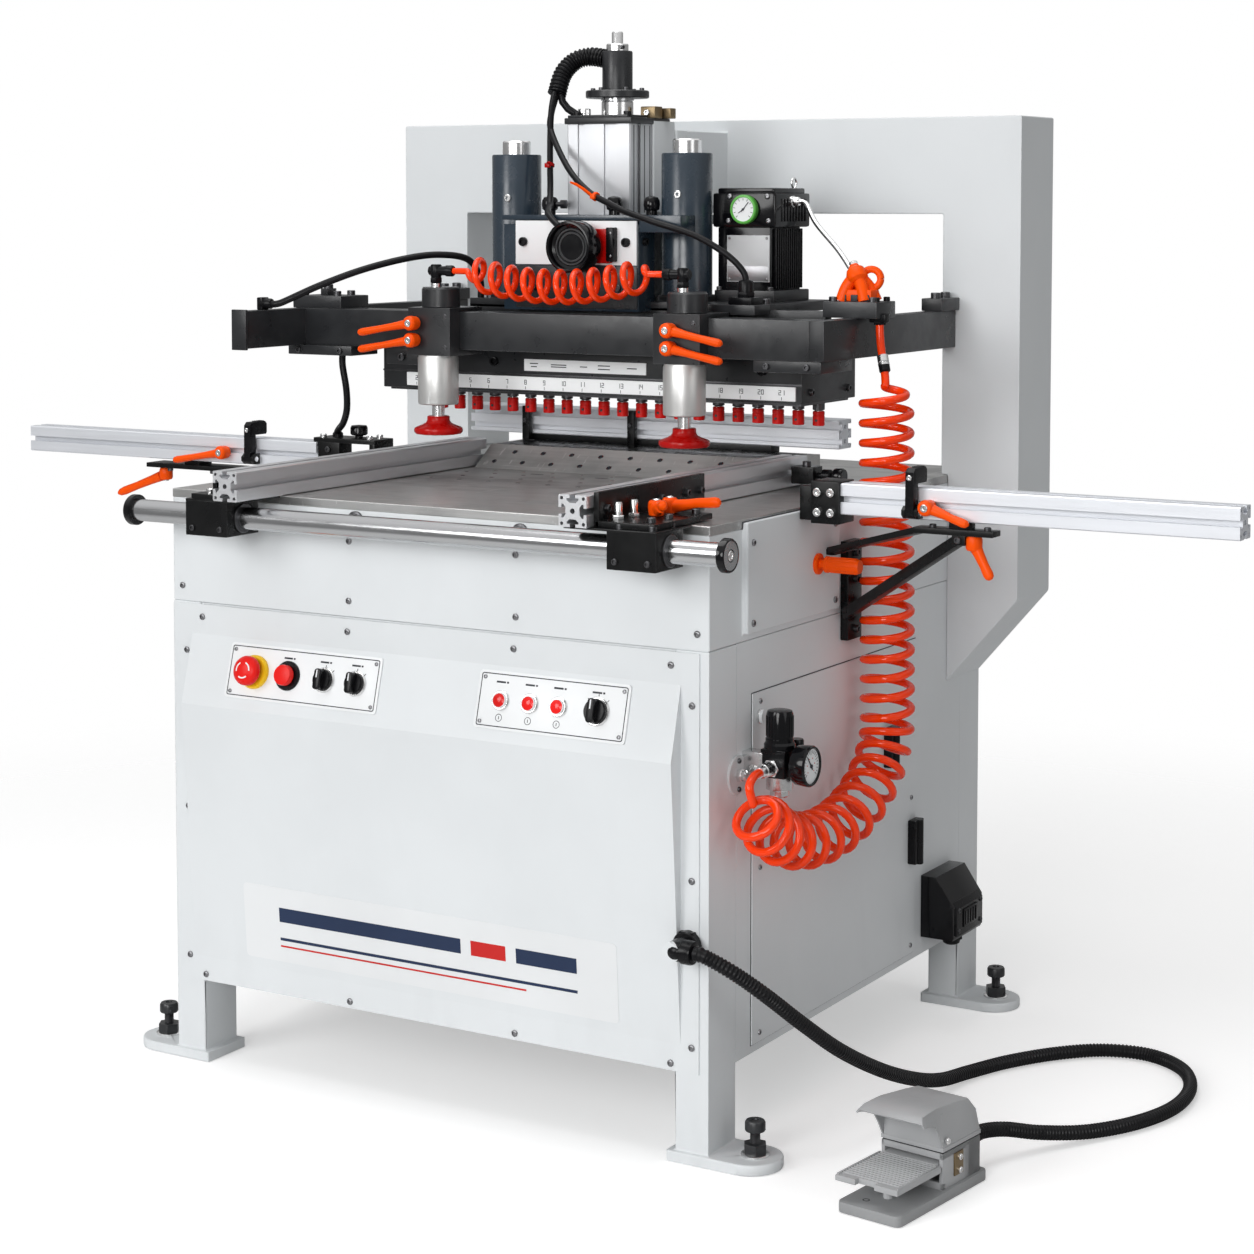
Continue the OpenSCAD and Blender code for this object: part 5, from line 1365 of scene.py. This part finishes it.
stop_line = shift(0, FEED_Y, 0)
carrier.lathe([(24, 1345), (44.6, 1345), (46, 1346.4), (46, 1354.6), (44.6, 1356), (22, 1356)],
              "black_steel", stop_line, 64)
carrier.lathe([(21, 1340), (24, 1342), (24, 1346)], "chrome", stop_line, 40)
carrier.lathe([(22, 1356), (22, 1411), (21, 1413), (16, 1413)], "black_steel", stop_line, 56)
carrier.lathe([(16, 1413), (16, 1422), (15, 1423.4), (9.4, 1423.4), (9.2, 1420)],
              "bright_steel", stop_line, 48)
carrier.cap_screw((13, FEED_Y - 9, 1418), (0.82, -0.57, 0), 6, 5, "dark_steel")
for x, y in arc(36, 20, 60, 6, (0, FEED_Y)):
    carrier.cap_screw((x, y, 1356), UP, 7, 4)
carrier.tube([(-72, 450, 1354), (-70, 452, 1340), (-62, 454, 1330), (-50, 457, 1322)], 5.5, "rubber", 16)
carrier.piece("head_carrier_welded", "machine", "slate_steel", "head_carrier")

# %% [markdown]
# ## The feed cylinder
# An air cylinder with an extruded body pushes the head down. Shallow recesses run down its faces, so its
# outline has notches and is pushed upwards. The end cap is black, with a bright boss.

# %% Feed cylinder
CYLINDER_HALF, CYLINDER_TOP = 53, 1307


def notched(half, recesses):
    """Square outline with the same shallow recesses in each face."""
    face, deep = [(-half + 2, -half)], 2.6
    for first, last in recesses:
        face += [(first, -half), (first, -half + deep), (last, -half + deep), (last, -half)]
    face.append((half - 2, -half))
    outline = []
    for turn in range(4):
        for x, y in face:
            for _ in range(turn):
                x, y = -y, x
            outline.append((x, y))
    return outline


cylinder = Shape()
cylinder.prism(notched(CYLINDER_HALF, ((-35, -23), (9, 30))), (HEAD_TOP, CYLINDER_TOP),
               "cylinder_aluminium", stop_line, edge=0.5)
cylinder.block((-56, 56), (FEED_Y - 56, FEED_Y + 56), (CYLINDER_TOP, CYLINDER_TOP + 9), "black_steel", 1.4)
cylinder.block((-54, 46), (FEED_Y - 50, FEED_Y + 50), (CYLINDER_TOP + 9, CYLINDER_TOP + 13),
               "black_steel", 1.2)
cylinder.lathe([(23, CYLINDER_TOP + 12), (23, 1339), (21.6, 1341), (17, 1341), (17, 1345)],
               "bright_steel", stop_line, 56)
for x, y in ((-42, -42), (42, -42), (42, 42), (-42, 42)):
    cylinder.cap_screw((x, FEED_Y + y, CYLINDER_TOP + 11), UP, 12, 7, "black_plastic")
cylinder.lathe([(9.4, 0), (9.4, 10), (8.6, 11), (4, 11), (3.6, 9), (0, 9)], "bright_steel",
               shift(-44, FEED_Y - 20, CYLINDER_TOP + 12), 32)
cylinder.block((34, 58), (FEED_Y + 8, FEED_Y + 30), (CYLINDER_TOP + 9, CYLINDER_TOP + 26), "brass", 1.4)
cylinder.block((46, 68), (FEED_Y + 36, FEED_Y + 52), (CYLINDER_TOP + 9, CYLINDER_TOP + 24), "brass", 1.4)
cylinder.cap_screw((46, FEED_Y + 8, CYLINDER_TOP + 17), FRONT, 9, 5, "bright_steel")
cylinder.block((53.4, 57), (498, 558), (1180, 1312), "body_grey", 1)
# Four thin dark strips on the right face: painted shade of its grooves.
for y in (447, 462, 477, 492):
    cylinder.block((52, 53.3), (y - 1.3, y + 1.3), (1180, 1305), "dark_steel", 0.3)
cylinder.piece("feed_cylinder_extruded", "machine", "profile_aluminium", "feed_cylinder")

# %% [markdown]
# ## The moving head
# Rods, gear case and spindles go down together. The gear case carries a long pale scale with plain
# numbers, one for nearly each spindle, and a small plate with printed bars. A digit is made of up to
# seven strokes, as on a calculator, which needs no letter shapes.

# %% Rods and gear case
rods = Shape()
for side in (-1, 1):
    rods.lathe([(20, 1000), (20.6, 1001), (20.6, 1282), (19, 1284), (6, 1284), (5, 1280), (0, 1280)],
               "bright_steel", shift(side * COLUMN_X, COLUMN_Y, 0), 56)
rods.lathe([(12, 1000), (12, 1160), (8.2, 1166), (8.2, 1439), (7, 1441), (0, 1441)],
           "bright_steel", stop_line, 40)
rods.piece("head_rods_turned", "head", "bright_steel", "head_rods")

case = Shape()
CASE_FRONT, CASE_X = 394, 350
SCALE_X = (-306, 341)
case.block((-CASE_X, CASE_X), (CASE_FRONT, 560), (920, 1000), "black_steel", 1.6)
case.block((-CASE_X + 6, CASE_X - 6), (CASE_FRONT + 10, 550), (916.5, 921), "dark_steel", 0.8)
# The scale and the small plate take the lighter copy of white: painted light against the shade on the case's
# front.
case.block(SCALE_X, (CASE_FRONT - 2.4, CASE_FRONT + 1), (924, 943.5), "scale_white_lit", 0.6)
case.block((-99, 105), (CASE_FRONT - 1.6, CASE_FRONT + 1), (952, 969), "scale_white_lit", 0.5)
case.block((-CASE_X, CASE_X), (CASE_FRONT - 1.4, CASE_FRONT + 1), (944.5, 947), "dark_steel", 0.4)
for x in (-290, -150, 140, 290):
    case.cap_screw((x, CASE_FRONT, 964), FRONT, 13, 7, "black_plastic")
for x in (-330, -110, 110, 330):
    for y in (410, 548):
        case.cap_screw((x, y, 1000), UP, 12, 7)
for side in (-1, 1):
    for z in (980, 935):
        for y in (420, 535):
            case.cap_screw((side * CASE_X, y, z), (side, 0, 0), 10, 5)
for x in SPINDLE_X:
    case.lathe([(5.6, 903.6), (8.6, 905), (8.6, 917)], "dark_steel", shift(x, SPINDLE_Y, 0), 24)

STROKES = {"top": (0, 2, 1, 2), "mid": (0, 1, 1, 1), "low": (0, 0, 1, 0), "ul": (0, 1, 0, 2),
           "ur": (1, 1, 1, 2), "ll": (0, 0, 0, 1), "lr": (1, 0, 1, 1)}
DIGITS = ("top low ul ur ll lr", "ur lr", "top ur mid ll low", "top ur mid lr low", "ul mid ur lr",
          "top ul mid lr low", "top ul mid ll lr low", "top ur lr",
          "top mid low ul ur ll lr", "top mid low ul ur lr")


def number(value, x, y, z):
    """A printed number in strokes, read from the front."""
    tall, text = 6.0, str(value)
    step, pen = tall / 2, tall / 14
    for place, digit in enumerate(text):
        left = x + (place - len(text) / 2) * step * 1.75 + step * 0.35
        for stroke in DIGITS[int(digit)].split():
            a, b, c, d = STROKES[stroke]
            case.block((left + a * step - pen, left + c * step + pen), (y - 0.12, y + 0.1),
                       (z + (b - 1) * step - pen, z + (d - 1) * step + pen), "print_dark", 0.0)


for index, x in enumerate(SPINDLE_X, 1):
    if SCALE_X[0] < x - 8:
        number(index, x, CASE_FRONT - 2.4, 935.5)
        case.block((x - 0.4, x + 0.4), (CASE_FRONT - 2.52, CASE_FRONT - 2.3), (925, 929.5), "print_dark", 0)
PLATE_BARS = ((-82, 14, 963), (-82, 10, 958.5), (-40, 26, 962), (-40, 26, 959), (2, 12, 960.5), (36, 20, 963),
              (36, 20, 958), (82, 16, 960.5))
for x, wide, z in PLATE_BARS:
    case.block((x - wide / 2, x + wide / 2), (CASE_FRONT - 1.72, CASE_FRONT - 1.5),
               (z - 0.7, z + 0.7), "print_dark", 0)
case.piece("spindle_case", "head", "dark_casting", "spindle_box")

# %% [markdown]
# ## Twenty-one spindles
# Every spindle is the same turned piece with a red cap that takes a drill, so one is made and the others
# take a copy of its mesh. Each rides on its own body, because each one turns. Two set screws on the cap
# show the turn.

# %% Spindles
master = None
for index, x in enumerate(SPINDLE_X, 1):
    name = f"spindle_{index:02d}"
    if master is None:
        spindle, spot = Shape(), shift(x, SPINDLE_Y, 0)
        spindle.lathe([(3, 884), (3, 882.6), (7.6, 882.2), (8.5, 883.2), (8.5, 896), (8.1, 896.6),
                       (8.1, 897.4), (8.5, 898), (8.5, 901.6), (7.4, 903), (5, 903)], "button_red", spot, 32)
        spindle.lathe([(5, 902.6), (5, 907), (4.2, 908), (4.2, 918)], "bright_steel", spot, 24)
        for way in (-1, 1):
            spindle.cap_screw((x, SPINDLE_Y + 8.2 * way, 890), (0, way, 0), 4.4, 0.9)
        master = spindle.piece(name + "_turned", name, "spindle_red", name)
        continue
    twin = bpy.data.objects.new(name + "_turned", master.data.copy())
    twin.data.transform(shift(SPACING / 1000 * (index - 1), 0, 0))
    bpy.context.scene.collection.objects.link(twin)
    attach(twin, name)
    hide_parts(name)
print("spindles:", len(SPINDLE_X))

# %% [markdown]
# ## The motor
# A black motor stands on the base plate. Its sides have upright cooling fins, which are separate thin
# blocks. In front are a bare metal plate and, on its head, a round gauge with a green rim.

# %% Motor
motor = Shape()
MOTOR_X, MOTOR_FRONT = (181, 276), 455
motor.block(MOTOR_X, (453, 561), (BASE_TOP, 1072), "black_steel", 2)
motor.block((188, 267), (460, 550), (1071, 1161), "black_plastic", 2)
motor.block((186, 269), (MOTOR_FRONT, 462), (1072, 1160), "gloss_black", 1.6)
for k in range(13):
    y = 466 + 6.6 * k
    for face in ((183, 189), (266, 272)):
        motor.block(face, (y, y + 2.6), (1074, 1158), "black_plastic", 0.7)
motor.block((179, 278), (451, 559), (1160, 1208), "gloss_black", 4)
motor.block((184, 273), (457, 553), (1206, 1215), "gloss_black", 3)
for k in range(9):
    y = 470 + 9 * k
    for face in ((277, 279.4), (177.6, 180)):
        motor.block(face, (y, y + 4), (1168, 1200), "black_plastic", 0.8)
motor.block((201, 268), (MOTOR_FRONT - 1.4, MOTOR_FRONT + 0.4), (1084, 1149), "satin_plate", 0.4)
motor.block((202, 267), (MOTOR_FRONT - 1.7, MOTOR_FRONT - 1), (1085, 1106), "screw_steel", 0.2)
for x in (205, 264):
    for z in (1088, 1145):
        motor.bolt((x, MOTOR_FRONT - 1.6, z), FRONT, 4, 1.2)
dial = facing((232, 451, 1185), FRONT)
motor.lathe([(20, 0), (20.5, 1), (20.5, 8), (19.4, 9.6), (17, 9.8), (16.6, 8)], "green_plastic", dial, 48)
motor.lathe([(16.8, 7.6), (16.8, 8.1), (0, 8.1)], "label_white", dial, 48)
for k in range(11):
    mark = dial @ spin(-135 + 27 * k)
    motor.block((-0.35, 0.35), (12.4, 15.6), (8.1, 8.3), "print_dark", 0, mark)
for half, length, z, turn in ((0.6, (-4, 13), (8.4, 8.9), -40), (0.5, (-3, 9), (8.4, 8.8), 125)):
    motor.block((-half, half), length, z, "print_dark", 0.1, dial @ spin(turn))
motor.lathe([(1.6, 8), (1.6, 9.6), (0, 10)], "print_dark", dial, 20)
for x, z in ((205, 1169), (268, 1169), (207, 1203), (266, 1203)):
    motor.bolt((x, 451, z), FRONT, 8, 2.6)
motor.lathe([(8, 0), (8, 5), (6.6, 6), (6.6, 12), (5.4, 14), (4.4, 14)], "bright_steel",
            facing((277, 500, 1196), RIGHT), 28)
eye = [(262, y, z) for y, z in arc(7, -70, 20, 17, (540, 1222))]
motor.tube([(262, 540, 1212), *eye], 1.6, "bright_steel", 10)
for x in (188, 268):
    motor.cap_screw((x, 456, 1072), UP, 9, 5)
motor.piece("motor_finned", "machine", "dark_casting", "motor")

# %% [markdown]
# ## The horn
# A warning horn: a turned black cup with a stepped cone and a round boss inside, on a red block.

# %% Horn
horn = Shape()
mouth = facing((30, 346, 1133), FRONT)
horn.lathe([(24, 0), (31, 4), (35.4, 9), (36.4, 12), (36.4, 39.5), (35.2, 41.8), (33, 42), (31.6, 41),
            (30.6, 33), (27, 31), (26.4, 29)], "gloss_black", mouth, 64)
horn.lathe([(26.6, 28), (25.6, 31.6), (23.6, 31.6), (22.4, 28.4), (20.6, 30.4), (18.6, 30.4), (17.2, 26.4),
            (13, 24), (8, 22.4)], "black_steel", mouth, 64)
horn.lathe([(8.6, 22), (8.2, 25.4), (6.4, 27.6), (3, 28.6), (0, 28.8)], "gloss_black", mouth, 40)
horn.block((24, 72), (346, 357.2), (1110, 1158), "red_plastic", 2)
horn.block((68, 80), (344, 357.2), (1112, 1160), "black_plastic", 2)
for z in (1152, 1120):
    horn.bolt((76, 344, z), FRONT, 4, 1.2)
horn.lathe([(8, -6), (8, 2), (6.4, 4), (6.4, 10), (5, 12), (4.4, 12)], "black_plastic",
           facing((8, 342, 1150), (-0.8, 0.1, 0.6)), 24)
horn.piece("horn_cup", "machine", "black_plastic", "horn")

# %% [markdown]
# ## Cable ties
# Two ties hold the cables. A tie is a small ring round the cable with a locking head and a loose tail.

# %% Cable ties


def tie(name, points, near, look, tail):
    """A tie on the route through points, as near as that comes to a place."""
    steps = 60
    path = along_route(points, steps)
    where = min(range(1, steps), key=lambda k: (path[k] - Vector(near)).length)
    here, ahead = path[where], (path[where + 1] - path[where - 1]).normalized()
    shape = Shape()
    shape.lathe([(4.4, -2.2), (6.2, -2.2), (6.6, -1.4), (6.6, 1.4), (6.2, 2.2), (4.4, 2.2)],
                look, facing(here, ahead), 24)
    head, tail, lift = here + Vector((0, -6.5, 0)), Vector(tail), Vector((0, -3, 3))
    shape.block((-4, 4), (-3.4, 3.4), (-3, 3), look, 1, facing(head, FRONT))
    shape.tube([head, head + tail * 0.35 + lift, head + tail * 0.7 + lift, head + tail], [2.4, 2.6, 2.4, 1.6],
               look, 10, 0.45)
    shape.piece(name, "machine", "orange_hose")


tie("motor_cable_tie", MOTOR_CABLE, (32, 376, 1204), "orange_plastic", (-34, -6, 20))
tie("horn_cable_tie", HORN_CABLE, (-70, 418, 1250), "red_plastic", (9, -3, 2))

# %% [markdown]
# ## The air unit
# A regulator with a knob, a gauge and a water drain is mounted on the cabinet's side, in front of the
# access cover. The knob has grip ribs, and the gauge a black rim, a pale dial with ticks and a needle.
# The curly hose plugs into its front.

# %% Air unit
air = Shape()
UNIT_X, UNIT_Y = 470, 101
unit = shift(UNIT_X, UNIT_Y, 0)
air.block((454, 486), (83, 119), (478, 513), "black_plastic", 1.6)
air.block((452.6, 487.4), (81.6, 120.4), (509, 514), "black_plastic", 1.4)
air.lathe([(20, 512), (20, 519), (18, 522), (18, 526)], "gloss_black", unit, 44)
air.lathe([(17, 525), (17, 557), (15.6, 561), (12, 562), (0, 562)], "gloss_black", unit, 44)
for x, y in circle(16.8, (UNIT_X, UNIT_Y), 22):
    air.tube([(x, y, z) for z in (529, 555)], 0.9, "gloss_black", 6)
air.lathe([(10, 452), (12, 454), (12, 460), (17, 462), (17, 478)], "bright_steel", unit, 36)
air.block((425, 456), (84, 108), (482, 508), "bright_steel", 1.4)
disc = facing((425, 71, 480), RIGHT)
air.lathe([(25, 0), (25, 2), (24, 3), (0, 3)], "satin_plate", disc, 48)
air.prism(circle(9, sides=6), (3, 9), "bright_steel", disc, edge=0.8)
air.lathe([(7, 9), (7, 13), (4.6, 15), (0, 15)], "bright_steel", disc, 24)
for z in (462, 498):
    air.bolt((428, 71, z), RIGHT, 7, 3, "dark_steel")
outlet = shift(UNIT_X, 0, 497) @ ALONG_Y
air.prism(circle(10, sides=6), (119, 127), "bright_steel", outlet, edge=0.7)
air.lathe([(7, 127), (7, 157), (5, 157), (5, 154), (0, 154)], "bright_steel", outlet, 24)
air.lathe([(5, 503), (5, 507), (9, 508), (9, 515), (8, 517), (0, 517)], "gloss_black",
          shift(UNIT_X, 148, 0), 28)
gauge = facing((476, UNIT_Y, 495), RIGHT)
air.lathe([(6, 9), (6, 16), (20, 17), (24, 19), (25, 21), (26, 34), (26, 38), (24.6, 40), (22.4, 40),
           (22, 37.4)], "gloss_black", gauge, 56)
air.lathe([(22.4, 37), (22.4, 37.6), (0, 37.6)], "label_white", gauge, 48)
for k in range(21):
    mark = gauge @ spin(-130 + 13 * k)
    air.block((-0.35, 0.35), (16 if k % 5 else 14, 20), (37.6, 37.8), "print_dark", 0, mark)
for x, y in arc(10.4, 220, -52, 6):
    air.lathe([(0.9, 37.6), (0.9, 37.8), (0, 37.8)], "print_red", gauge @ shift(x, y, 0), 10)
air.prism([(-1.1, -6), (1.1, -6), (0.5, 16), (-0.5, 16)], (38.0, 38.5), "print_dark", gauge @ spin(38))
air.lathe([(2.4, 37.8), (2.4, 39.4), (1, 40), (0, 40)], "print_dark", gauge, 20)
plug = shift(UNIT_X, 0, 492) @ ALONG_Y
air.lathe([(9, 64), (9, 74), (10, 75)], "bright_steel", plug, 28)
air.prism(circle(11.6, sides=6), (75, 83), "bright_steel", plug, edge=0.7)
air.piece("air_unit", "machine", "black_plastic", "air_regulator")

# %% [markdown]
# ## The air manifold
# On the beam's right end a moulded orange manifold feeds the hold-downs. It stands on four legs, with a
# finger ring at its top and three dark slots in its foot. The braided hose from the motor and the curly
# hose end here.

# %% Air manifold
manifold = Shape()
TOP, SPOUT = Vector((422, 413, 1098)), (-0.47, 0.3, 0.83)
for foot in ((404, 404, 1062), (446, 424, 1062), (408, 426, 1062), (440, 402, 1062)):
    knee = (Vector(foot) + TOP) / 2 + (Vector(foot) - TOP) * 0.18 + Vector((0, 0, 8))
    manifold.tube(smooth([Vector(foot), knee, TOP], 3), 8.5, "orange_plastic", 16)
manifold.lathe([(10, -12), (14, -8), (14.6, 0), (12, 7), (8, 10), (6.4, 14), (4.4, 14)], "orange_plastic",
               facing(TOP, SPOUT), 32)
ring = facing(TOP + Vector((17, 10, -6)), (0.25, -0.95, 0.1))
loop = circle(13, sides=28)
manifold.tube([ring @ Vector((*point, 0)) for point in loop + loop[:1]], 5, "orange_plastic", 14)
manifold.block((400, 450), (400, 428), (1062, 1078), "orange_plastic", 4)
# Three dark blocks in the foot stand for its slots: painted shade of the openings.
for x in (408, 425, 442):
    manifold.block((x - 5, x + 5), (398.6, 402), (1062, 1071), "print_dark", 1)
for x, y in ((392, 400), (458, 400), (392, 432), (458, 432)):
    manifold.cap_screw((x, y, 1062), UP, 9, 6, "black_plastic")
manifold.lathe([(6, 0), (6, 9), (4.6, 10)], "bright_steel", facing(TOP + Vector((-4, 3, 8)), SPOUT), 24)
manifold.block((446, 470), (402, 418), (1034, 1046), "black_plastic", 2)
manifold.piece("air_manifold_cap", "machine", "red_plastic", "air_manifold")

# %% [markdown]
# ## The junction box
# A black moulded box with a sloping top, a lid with four screws, and a gland below.

# %% Junction box
junction = Shape()
junction.prism([(425, 138), (475, 138), (477, 142), (477, 187), (449, 228), (425, 228)], (629, 733),
               "gloss_black", ALONG_Y, edge=2.5)
junction.prism([(459, 144), (480, 144), (480, 184), (474, 193), (459, 193)], (634, 728),
               "black_plastic", ALONG_Y, edge=2.5)
for y in (642, 720):
    for z in (151, 181):
        junction.bolt((480, y, z), RIGHT, 7, 2, "dark_steel")
junction.block((480, 482), (656, 706), (154, 180), "black_plastic", 0.8)
for k in range(5):
    junction.block((481.6, 483), (660 + 9 * k, 664 + 9 * k), (157, 177), "black_plastic", 0.5)
under = shift(451, 681, 0)
junction.prism(circle(17, sides=6), (128, 138.5), "black_plastic", under, edge=1)
junction.lathe([(0, 120), (9, 120), (12, 122), (13.4, 126), (14, 129)], "black_plastic", under, 32)
junction.piece("junction_box_moulded", "machine", "black_plastic", "junction_box")

# %% [markdown]
# ## Fittings on the cabinet
# The CAD solid of the panels holds the hinges, the lock and the pedal hose's elbow in one colour with the
# sheet, so thin black pieces are set over them.

# %% Hinges, lock and elbow
fittings = Shape()
for (y0, y1), (z0, z1) in (((580, 607), (256, 318)), ((498, 525), (410, 465))):
    fittings.block((426.6, 439.6), (y0 - 0.6, y1 + 0.6), (z0 - 0.6, z1 + 0.6), "black_plastic", 2)
    fittings.lathe([(5, z0 - 1), (6, z0), (6, z1), (5, z1 + 1)], "black_plastic", shift(439, y0 + 13, 0), 24)
    for z in (z0 + 12, z1 - 12):
        fittings.cap_screw((439.6, y1 - 6, z), RIGHT, 6, 1.4)
fittings.lathe([(9.4, 0), (9.4, 3), (8, 4.4), (5, 4.4), (4.6, 3.4), (0, 3.4)], "bright_steel",
               facing((427, 128, 545), RIGHT), 32)
# The lock's key slot is a thin dark block: painted shade of the slot.
fittings.block((430.4, 431.8), (127, 129), (540, 550), "print_dark", 0.2)
ELBOW_X, ELBOW_Y, ELBOW_Z0 = 398, -36, 279
front = shift(ELBOW_X, 0, ELBOW_Z0) @ ALONG_Y
fittings.lathe([(17.4, -1.6), (17.4, -12.4), (16, -14), (12.4, -14), (12.4, -36)], "black_plastic", front, 36)
fittings.prism(circle(19, sides=6), (-11, -2), "black_plastic", front, edge=1.2)
bend = [(ELBOW_X, ELBOW_Y + 12, ELBOW_Z0), (ELBOW_X, ELBOW_Y + 2, ELBOW_Z0),
        (ELBOW_X + 3, ELBOW_Y - 3, ELBOW_Z0), (ELBOW_X + 9, ELBOW_Y - 1, ELBOW_Z0),
        (ELBOW_X + 16, ELBOW_Y, ELBOW_Z0)]
fittings.tube(smooth([Vector(p) for p in bend]), 12.6, "black_plastic", 28)
fittings.lathe([(12.6, 408), (15, 410), (15, 421), (14, 424), (11, 425), (9.4, 425)], "black_plastic",
               shift(0, ELBOW_Y, ELBOW_Z0) @ ALONG_X, 32)
fittings.piece("cabinet_fittings", "machine", "black_plastic")

# %% [markdown]
# ## The foot pedal
# A grey casting: a flat base, a square housing with a dark seam round it, and a hood that flares over the
# toe. The hood is a thin sheet, so it is made from an outline seen from the front that changes towards
# the back. The pedal lies a little askew on the floor, so it is built square and then turned.

# %% Pedal body
ASKEW = shift(680, 47, 0) @ spin(-7.5) @ shift(-676, -55, 0)
CASE_L, CASE_R, CASE_Y = 629, 716, (59, 146)
SEAM_Z = (57.4, 60)
pedal = Shape()
# The flat base takes the darker copy of the grey, which is painted shade under the hood.
pedal.prism(rounded(88, 204, 9, (677, 56)), (0, 13.5), "pedal_grey_shaded", edge=2)
for x, y in ((660, -22), (648, 152), (706, 152)):
    pedal.lathe([(4.6, 0), (4.4, 0.3), (3, 0.3), (2.8, -1), (0, -1)], "dark_steel", shift(x, y, 13.4), 20)
for wall in ((CASE_L, CASE_L + 5), (CASE_R - 5, CASE_R)):
    pedal.block(wall, CASE_Y, (13, 58), "pedal_grey", 1)
for y, z in (((110, CASE_Y[1]), (13, 58)), (CASE_Y, (50, 58)), ((CASE_Y[0], 66), (13, 22))):
    pedal.block((CASE_L, CASE_R), y, z, "pedal_grey", 1)
pedal.block((CASE_L + 1.4, CASE_R - 1.4), (CASE_Y[0] + 1.4, CASE_Y[1] - 1.4), SEAM_Z, "rubber", 0.3)
pedal.block((CASE_L - 0.6, CASE_R + 0.6), (CASE_Y[0] - 0.6, CASE_Y[1] + 0.6),
            (SEAM_Z[1] - 0.4, 65), "pedal_grey", 1)

hood, rows = bmesh.new(), []
HOOD_X = (CASE_L + CASE_R) / 2
HOOD = ((146, 62, 43.5, 90, 37), (128, 62, 43.5, 107, 37), (100, 62, 43.5, 111, 37.5),
        (60, 64, 43.5, 115, 39), (50, 82, 44, 116, 39.5), (40, 97, 45, 116, 40), (16, 104, 48, 115, 41),
        (9, 104.5, 48.5, 108, 46))
for y, low, low_half, high, high_half in HOOD:
    outer = [(-low_half, low), (-high_half, high - 1), (-high_half + 2, high), (high_half - 2, high),
             (high_half, high - 1), (low_half, low)]
    rows.append([hood.verts.new((HOOD_X + x, y, z)) for x, z in outer])
for back, front in zip(rows, rows[1:]):
    for a, b, c, d in zip(back, back[1:], front[1:], front):
        hood.faces.new((a, b, c, d))
hood.faces.new(rows[0])
bmesh.ops.recalc_face_normals(hood, faces=hood.faces)
bmesh.ops.solidify(hood, geom=hood.faces[:], thickness=2.6)
pedal.keep(hood, "pedal_grey", None)
pedal.block((CASE_L + 3, CASE_R - 3), (CASE_Y[0], CASE_Y[0] + 5), (64, 106), "pedal_grey", 1)
for x, way in ((CASE_L, -1), (CASE_R, 1)):
    pedal.lathe([(4.6, 0), (4.6, 2.4), (3.4, 3.4), (1.8, 3.4), (1.6, 2.2), (0, 2.2)], "bright_steel",
                facing((x, 68, 72), (way, 0, 0)), 20)
pedal.block((CASE_R - 0.5, CASE_R + 2), (84, 104), (24, 52), "brass", 0.8)
for z in (46, 30):
    pedal.cap_screw((CASE_R + 2, 94, z), RIGHT, 8, 3.4, "bright_steel")
plug = shift(690, 0, 42) @ ALONG_Y
pedal.prism(circle(15, sides=6), (146, 154), "black_plastic", plug, edge=1)
pedal.lathe([(13, 154), (13, 166), (11.6, 170), (9.6, 170)], "black_plastic", plug, 28)
pedal.lathe([(2.7, CASE_L + 5), (2.7, CASE_R - 5)], "bright_steel", shift(0, 80, 40) @ ALONG_X, 16)
pedal.mesh.transform(ASKEW)
pedal.piece("pedal_casting", "machine", "pedal_casting", "pedal_body")

# %% [markdown]
# ## The treadle
# A flat plate with ribs across it, a notch in its front edge and a stub that meets the base.

# %% Treadle
tread = Shape()
NOTCHED = [(629, -42), (657, -42), (657, -34), (684, -34), (684, -42), (716, -42), (716, 55), (629, 55)]
tread.prism(NOTCHED, (36, 43.4), "pedal_grey", edge=1.2)
for k in range(15):
    tread.tube([(x, -30 + 5.8 * k, 43.4) for x in (633, 672, 712)], 1.5, "pedal_grey", 8)
for x in (631, 714):
    tread.block((x - 1.6, x + 1.6), (-40, 54), (42, 45), "pedal_grey", 1)
tread.block((635, 710), (53, 92), (34.4, 45.6), "pedal_grey", 1.6)
tread.lathe([(5, 26), (5.5, 27), (5.5, 37)], "pedal_grey", shift(694, -28, 0), 20)
tread.mesh.transform(ASKEW)
tread.piece("treadle_ribbed", "treadle", "pedal_casting", "treadle")
